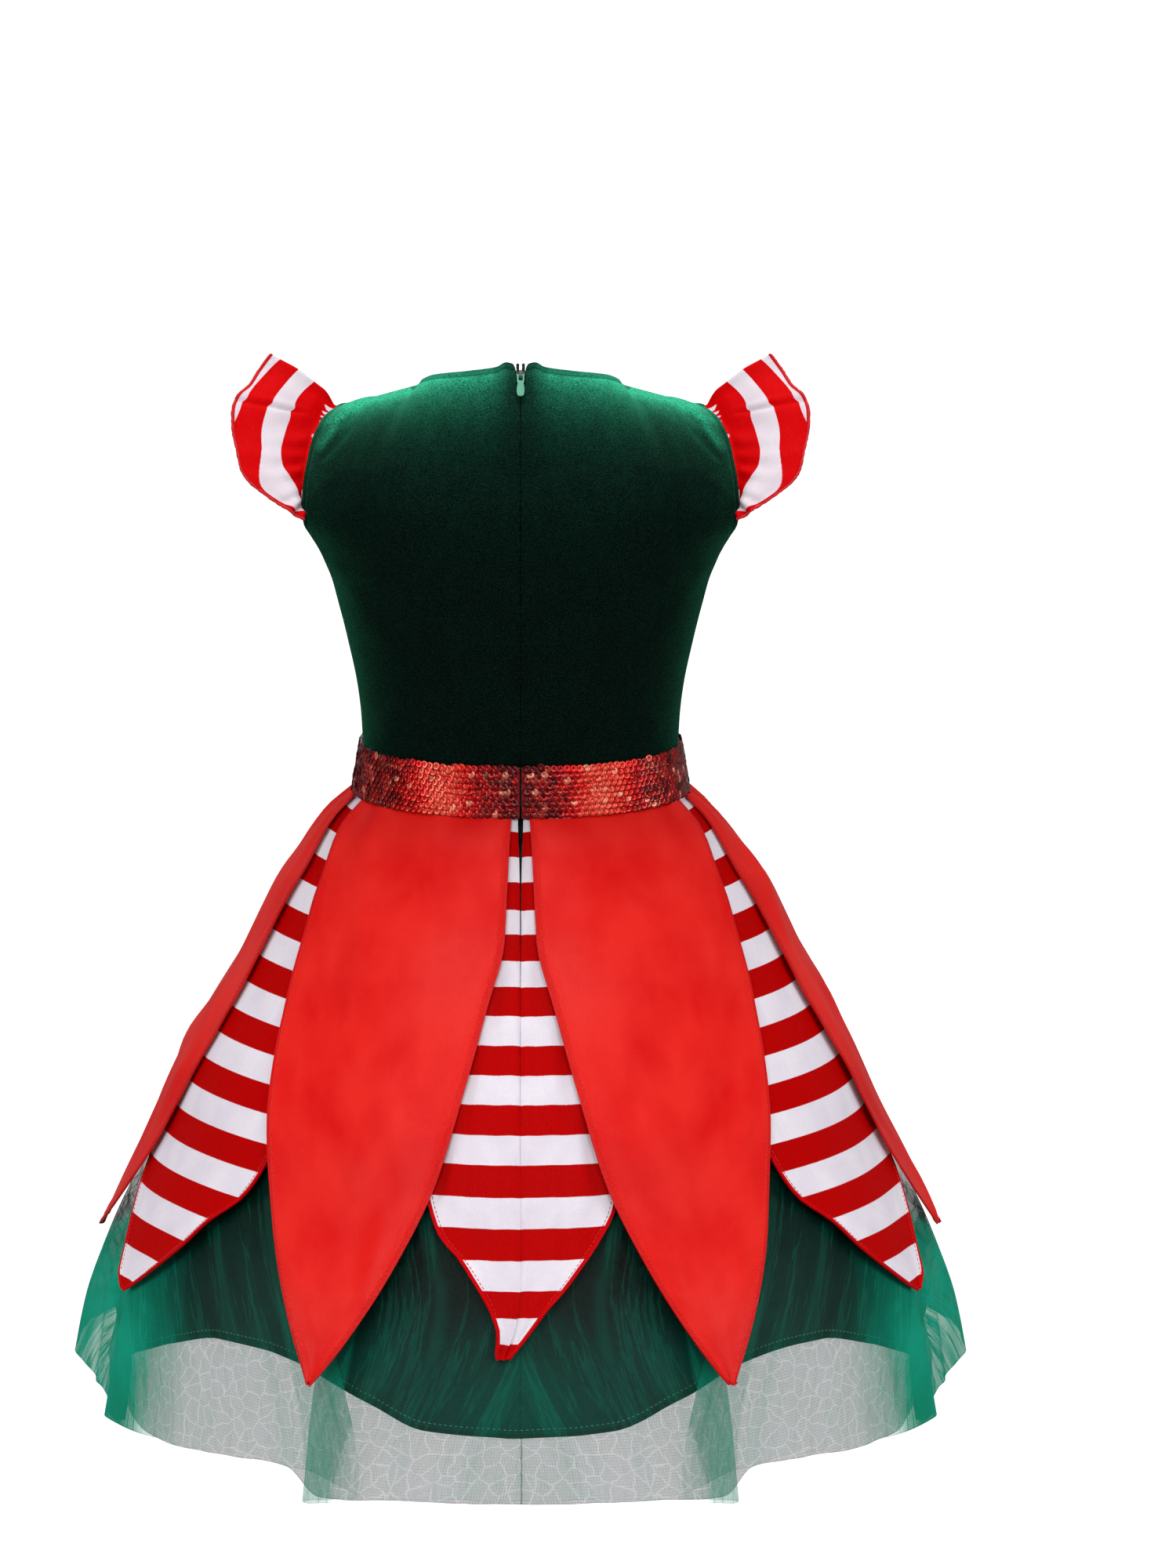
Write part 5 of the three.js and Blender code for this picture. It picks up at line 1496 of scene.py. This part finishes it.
for name, start, stop, cols in (("back_left", 0, -90, 120), ("back_right", 0, 90, 120), ("front", 90, 270, 230)):
    g, phi, down = layer_grid("net", NET, start, stop, cols, 56, net_relief)
    if name == "back_left":
        g = lap_under(g, grid_normals(g) * facing(g), down, 0.3)
    edge = distance_to(g, g[-1])
    o = ply("net_" + name, g, NET_LOOK, attributes={"cloth": cloth_map(g, edge), "dense": np.full(edge.shape, 0.5)})
    place(o, ["net_" + name], "grey_net")

# ---------------------------------------------------------------- tulle
tulle_hem, tulle_step, tulle_level = (curve(TULLE, i) for i in (1, 2, 3))
# how closely the tulle is gathered, by its place at the waist: more plies lie in each pleat
DENSE = [
    (0, 0.12),
    (12, 0.04),
    (22, 0.12),
    (25, 1.0),
    (41, 1.0),
    (46, 0.12),
    (60, 0.08),
    (66, 0.5),
    (70, 1.0),
    (139, 1.0),
    (147, 0.2),
    (170, 0.12),
    (180, 0.3),
]
tulle_dense = curve(DENSE, 1)


def tulle_cover(waist, phi, down):
    """Plies lying over each other, thinning where the back pleats narrow towards their hem."""
    dense = tulle_dense(waist) * np.ones(down.shape)
    near = 20.3 + 3.0 * smooth((down - 262) / 70)
    pleat = (waist > 21) & (waist < 47) & (down > 200)
    dense = np.where(pleat, 0.06 + 0.3 * smooth((np.abs(phi) - near + 0.35) / 0.7), dense)
    outer = smooth((waist - 84) / 4) * smooth((104 - waist) / 4) + smooth((waist - 110) / 4) * smooth((124 - waist) / 4)
    ribs = 0.5 + 0.5 * np.sin(waist * 1.35 + 0.9 * np.sin(down * 0.02))
    dense = dense - 0.14 * outer * ribs * smooth((down - 230) / 60)
    return np.clip(dense, 0, 1)


TULLE_FOLDS = [
    (5, 0.9, 1.4, 190),
    (13.5, 1.1, 1.8, 210),
    (20, 0.8, 1.6, 180),
    (49, 0.9, 2.0, 170),
    (56, 1.2, 2.4, 200),
    (63, 0.9, 2.0, 180),
    (88, 1.0, 2.6, 170),
    (93, 0.8, 2.0, 190),
    (99, 1.2, 3.0, 180),
    (106, 0.9, 2.4, 200),
    (113, 1.1, 2.8, 170),
    (120, 0.9, 2.2, 190),
    (146, 1.0, 2.0, 180),
    (155, 1.3, 2.4, 200),
    (164, 0.9, 1.8, 190),
    (173, 1.1, 2.0, 200),
]


def tulle_grid(waist, side, count=60):
    t = np.linspace(0, 1, count)
    waist = waist[None, :] + 0 * t[:, None]
    hem = WAIST_LOW - tulle_level(waist)
    down = 0.3 + (hem - 0.3) * t[:, None]
    w = fold_depth(down)
    inward = LAYER_IN["tulle"](down)
    phi = lerp(waist, tulle_hem(waist), w)
    free = placket_angle(down, inward)
    phi = np.maximum(phi, free * (waist < 20))
    ripple = (
        0.8 * np.sin(np.radians(waist) * 37 + 1.1 * np.sin(down * 0.02)) + 0.5 * np.sin(np.radians(waist) * 61 + 2.2 + 0.01 * down)
    ) * smooth((down - 170) / 150)
    for at, width, height, start in TULLE_FOLDS:
        ripple = ripple + height * np.exp(-(((waist - at - 0.8 * np.sin(down * 0.017 + at)) / width) ** 2)) * smooth((down - start) / 80)
    if not np.isscalar(side):
        side = side[None, :]
    return skirt(side * phi, down, -inward - 0.5 + ripple, w * tulle_step(waist)), down, tulle_cover(waist, phi, down)


def tulle_places(lo, hi, n):
    """Columns closer together where the table folds the cloth back."""
    x = np.linspace(lo, hi, 2400)
    slope = np.abs(np.gradient(tulle_hem(x), x))
    density = 0.6 + 1.1 / (0.25 + slope)
    c = np.concatenate([[0], np.cumsum((density[1:] + density[:-1]) / 2)])
    return np.interp(np.linspace(0, c[-1], n), c, x)


for word, side in (("left", -1), ("right", 1)):
    places_ = tulle_places(0, 90, 230)
    g, down, dense = tulle_grid(places_, side)
    edge = distance_to(g, g[-1])
    o = ply(f"tulle_back_{word}", g, TULLE_LOOK, attributes={"cloth": cloth_map(g, edge), "dense": dense})
    place(o, [f"tulle_back_{word}"], "green_tulle")
w1 = tulle_places(90, 180, 230)
waist = np.concatenate([w1, w1[::-1][1:]])
sides = np.concatenate([np.ones(len(w1)), -np.ones(len(w1) - 1)])
g, down, dense = tulle_grid(waist, sides)
edge = distance_to(g, g[-1])
o = ply("tulle_front", g, TULLE_LOOK, attributes={"cloth": cloth_map(g, edge), "dense": dense})
place(o, ["tulle_front"], "green_tulle")

# ---------------------------------------------------------------- zip
co = {}
for node in ("zip_tape_left", "zip_tape_right", "zip_chain"):
    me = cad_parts[node].data
    co[node] = np.array([v.co for v in me.vertices]) * 1000


def strip_rows(node, x):
    """Outer and inner line of a zip strip at one of its edges, ordered upwards."""
    v = co[node]
    e = np.unique(np.round(v[np.abs(v[:, 0] - x) < 0.02], 3), axis=0)
    order = np.argsort(e[:, 2])
    e = e[order]
    pairs, used = [], set()
    for i in range(len(e)):
        if i in used:
            continue
        d = np.linalg.norm(e - e[i], axis=1)
        d[i] = 1e9
        for u_ in used:
            d[u_] = 1e9
        j = int(np.argmin(d))
        used.update((i, j))
        a, b = (e[i], e[j]) if e[i][1] < e[j][1] else (e[j], e[i])
        pairs.append((a, b))
    return np.array([a for a, b in pairs]), np.array([b for a, b in pairs])


def fine(line, pitch):
    d = np.concatenate([[0], np.cumsum(np.linalg.norm(np.diff(line, axis=0), axis=1))])
    at = np.linspace(0, d[-1], max(2, int(d[-1] / pitch)))
    return np.stack([np.interp(at, d, line[:, i]) for i in range(3)], 1)


for word, x0, x1 in (("left", -12.0, -1.9), ("right", 1.9, 12.0)):
    outer, inner = strip_rows(f"zip_tape_{word}", x0)
    line = fine(outer, 4.0)
    on = line[-1] - line[-2]
    line = np.concatenate([line, line[-1] + on / np.linalg.norm(on) * np.array([[1.5], [3.0], [4.2]])])
    x = np.array([12.0, 10.0, 8.0, 6.0, 4.2, 3.0, 2.4, 1.9, 1.2, 0.6, 0.05]) * np.sign(x0 + x1)
    x = x if x0 < 0 else x[::-1]
    g = np.repeat(line[:, None], len(x), 1)
    above = smooth((line[:, 2:3] - 10.5) / 2.0)
    inner_edge = np.abs(x)[None, :] < 2.5
    g[..., 0] = x[None, :] * np.where(inner_edge, 1 - 0.25 * above, 1.0)
    g[..., 1] += 0.12 + 0.1 * np.sin(line[:, 2] * 0.2)[:, None] + 0.6 * smooth((2.3 - np.abs(x)) / 0.8)[None, :]
    o = shell(f"zip_tape_{word}", g, 0.5, TAPE_LOOK, attributes={"cloth": cloth_map(g)})
    place(o, [f"zip_tape_{word}"], "zip_cloth")

# the chain: interlocking loops of one coil either side, closed up to the slider
outer, inner = strip_rows("zip_chain", -1.5)
line = fine(outer, 0.6)
line[:, 0] = 0
p, t, _ = resample(line, 1.15, 0.4)
verts, faces, count = [], [], 0
ring = np.arange(6) / 6 * 2 * PI
for side in (-1, 1):
    for i in range(len(p)):
        centre = p[i] + t[i] * (0.31 * side)
        out = np.cross(np.array([1.0, 0, 0]), t[i])
        out *= -np.sign(out[1]) if abs(out[1]) > 1e-6 else 1
        path = [
            np.array([side * 1.45, 0, 0]) - out * 0.2,
            np.array([side * 0.9, 0, 0]) + out * 0.26,
            np.array([side * 0.1, 0, 0]) + out * 0.22,
            np.array([side * -0.35, 0, 0]) - out * 0.1,
        ]
        block = []
        for j, q_ in enumerate(path):
            a = path[min(j + 1, 3)] - path[max(j - 1, 0)]
            a /= np.linalg.norm(a)
            b = np.cross(a, t[i])
            r = 0.33 if 0 < j < 3 else 0.25
            block.append(centre + q_ - out * 0.42 + r * (np.cos(ring)[:, None] * t[i] + np.sin(ring)[:, None] * b))
        verts.append(np.concatenate(block))
        idx = np.arange(24).reshape(4, 6) + count
        nxt = np.roll(idx, -1, axis=1)
        faces.append(np.stack([idx[:-1], nxt[:-1], nxt[1:], idx[1:]], -1).reshape(-1, 4))
        faces.append(np.array([[idx[0, 3], idx[0, 2], idx[0, 1], idx[0, 0]], [idx[0, 5], idx[0, 4], idx[0, 3], idx[0, 0]]]))
        faces.append(np.array([[idx[3, 0], idx[3, 1], idx[3, 2], idx[3, 3]], [idx[3, 0], idx[3, 3], idx[3, 4], idx[3, 5]]]))
        count += 24
o = build("zip_chain", np.concatenate(verts), np.concatenate(faces), COIL)
place(o, ["zip_chain"], "zip_cloth")
# above the slider the two ends of the coil stand free, each with its top stop
head = line[-1]
rise = (line[-1] - line[-6]) / np.linalg.norm(line[-1] - line[-6])
for word, side in (("left", -1), ("right", 1)):
    strand = [head + rise * a + np.array([side * b, 0.0, 0.0]) + np.array([0, 0.1, 0]) for a, b in ((11.4, 1.5), (13.6, 1.5), (16.0, 1.6), (18.6, 1.5))]
    o = tube(f"zip_top_stop_{word}", np.array(strand), 0.8, DARK_PAINT, sides=8, pitch=0.5, wobble=0.12, seed=31 + side)
    place(o, [], "zip_cloth")
for node, paint in (("zip_slider", DARK_PAINT), ("zip_pull_tab", PAINT)):
    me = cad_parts[node]
    me.data.materials.clear()
    me.data.materials.append(paint)

# ---------------------------------------------------------------- flat sizes, areas and holds of the cloth pieces, listed but not passed on
FLAT = {
    "bodice_front": ((0.30, 0.265), 0.058, "stretched"),
    "bodice_back_left": ((0.15, 0.26), 0.032, "stretched"),
    "bodice_back_right": ((0.15, 0.26), 0.032, "stretched"),
    "waistband_front": ((0.27, 0.028), None, "stretched"),
    "waistband_back_left": ((0.134, 0.028), None, "stretched"),
    "waistband_back_right": ((0.134, 0.028), None, "stretched"),
    "sleeve_left": ((0.26, 0.052), 0.0090, "gathered"),
    "sleeve_right": ((0.26, 0.052), 0.0090, "gathered"),
    "petal_stripe_front": ((0.16, 0.31), 0.027, "hung"),
    "zip_tape_left": ((0.0119, 0.262), None, "stretched"),
    "zip_tape_right": ((0.0119, 0.262), None, "stretched"),
}
for word in ("left", "right"):
    FLAT[f"petal_red_back_{word}"] = ((0.165, 0.33), 0.0315, "hung")
    FLAT[f"petal_red_front_{word}"] = ((0.165, 0.33), 0.0315, "hung")
    FLAT[f"petal_red_side_{word}"] = ((0.12, 0.315), 0.025, "hung")
    FLAT[f"petal_stripe_side_{word}"] = ((0.15, 0.325), 0.031, "hung")
    FLAT[f"petal_stripe_front_{word}"] = ((0.15, 0.325), 0.031, "hung")
    FLAT[f"petal_stripe_back_{word}_half"] = ((0.07, 0.31), 0.0134, "hung")
    FLAT[f"satin_back_{word}"] = ((0.36, 0.37), 0.086, "hung")
    FLAT[f"net_back_{word}"] = ((0.40, 0.42), 0.103, "hung")
    FLAT[f"tulle_back_{word}"] = ((0.44, 0.42), 0.105, "hung")
FLAT["satin_front"] = ((0.72, 0.37), 0.174, "hung")
FLAT["net_front"] = ((0.80, 0.42), 0.206, "hung")
FLAT["tulle_front"] = ((0.88, 0.42), 0.218, "hung")
for name, (flat, area, held) in FLAT.items():
    above = ["waistband_front" if "front" in name else "waistband_back_left" if "left" in name else "waistband_back_right"]
    if name.startswith("waistband"):
        above = [name.replace("waistband", "bodice")]
    if name.startswith("bodice") or name.startswith("sleeve"):
        above = []
    if name.startswith("zip_tape"):
        above = ["bodice_back_" + name[9:]]

# ---------------------------------------------------------------- stage, light and camera
ELEVATION, DISTANCE, TARGET = math.radians(13.0), 2.25, Vector((0, 0, -0.230))
FLOOR = -2.2


def backdrop():
    """A plain pale floor, round, that turns up into the background on every side."""
    prof = [(0.001, FLOOR), (1.5, FLOOR), (3.0, FLOOR), (4.6, FLOOR)]
    for k in range(1, 13):
        a = k / 12 * PI / 2
        prof.append((4.6 + 1.8 * math.sin(a), FLOOR + 1.8 * (1 - math.cos(a))))
    prof += [(6.4, 2.0), (6.4, 6.0)]
    r = np.array([p[0] for p in prof])
    z = np.array([p[1] for p in prof])
    a = np.linspace(0, 2 * PI, 97)
    g = np.stack([r[:, None] * np.cos(a), r[:, None] * np.sin(a), z[:, None] + 0 * a[None]], -1)
    m = Look("pale_floor")
    place_ = m.node("ShaderNodeTexCoord").outputs["Object"]
    faint = m.noise(place_, 1.5, 4.0, 0.5)
    fine_ = m.noise(place_, 120.0, 2.0, 0.5)
    colour = m.mix(m.range(faint, 0.3, 0.7), (0.90, 0.90, 0.90, 1), (0.93, 0.93, 0.93, 1))
    mat = m.finish(
        {
            "Base Color": colour,
            "Roughness": m.range(fine_, 0.3, 0.7, 0.85, 0.95),
            "Specular IOR Level": 0.1,
            "Emission Color": (1, 1, 1, 1),
            "Emission Strength": 0.85,
            "Normal": m.bump(fine_, 0.05, 0.0005),
        }
    )
    rows, cols = g.shape[:2]
    idx = np.arange(rows * cols).reshape(rows, cols)
    faces = np.stack([idx[:-1, :-1], idx[1:, :-1], idx[1:, 1:], idx[:-1, 1:]], -1).reshape(-1, 4)
    o = build("floor", g.reshape(-1, 3) * 1000, faces, mat)
    o.visible_diffuse = False
    o.visible_glossy = False
    return o


backdrop()
world = bpy.data.worlds.new("studio")
bpy.context.scene.world = world
world.use_nodes = True
wt = world.node_tree
wt.nodes.clear()
bg = wt.nodes.new("ShaderNodeBackground")
bg.inputs[0].default_value = (1, 1, 1, 1)
bg.inputs[1].default_value = 0.2
wo = wt.nodes.new("ShaderNodeOutputWorld")
wt.links.new(bg.outputs[0], wo.inputs[0])


def area_light(name, where, towards, size, power, colour=(1, 1, 1)):
    d = bpy.data.lights.new(name, "AREA")
    d.shape = "RECTANGLE"
    d.size, d.size_y = size
    d.energy = power
    d.color = colour
    o = bpy.data.objects.new(name, d)
    o.location = where
    o.rotation_euler = (Vector(towards) - Vector(where)).to_track_quat("-Z", "Y").to_euler()
    bpy.context.scene.collection.objects.link(o)
    return o


area_light("key", (-0.8, -3.0, 1.7), (0, 0, -0.3), (1.1, 1.1), 38)
area_light("fill", (1.1, -3.0, 1.3), (0, 0, -0.3), (1.2, 1.2), 26)
area_light("top", (0, 0.2, 2.0), (0, -0.05, -0.05), (1.6, 0.8), 36)
area_light("low left", (-2.4, -1.2, -0.4), (0, 0, -0.4), (0.8, 0.8), 21)
area_light("low right", (2.4, -1.2, -0.4), (0, 0, -0.4), (0.8, 0.8), 21)
area_light("behind", (0, 3.0, 1.2), (0, 0, -0.3), (2.4, 1.6), 36)

cam_data = bpy.data.cameras.new("camera")
cam_data.lens = 90
cam_data.sensor_width = 36
cam_data.sensor_fit = "AUTO"
cam_data.shift_x = 0.043
cam_data.clip_start, cam_data.clip_end = 0.05, 50
cam = bpy.data.objects.new("camera", cam_data)
bpy.context.scene.collection.objects.link(cam)
back = Vector((0, -math.cos(ELEVATION), math.sin(ELEVATION)))
cam.location = TARGET + back * DISTANCE
cam.rotation_euler = (-back).to_track_quat("-Z", "Y").to_euler()
bpy.context.scene.camera = cam
bpy.context.scene.view_settings.view_transform = "Standard"
bpy.context.scene.cycles.transparent_max_bounces = 24
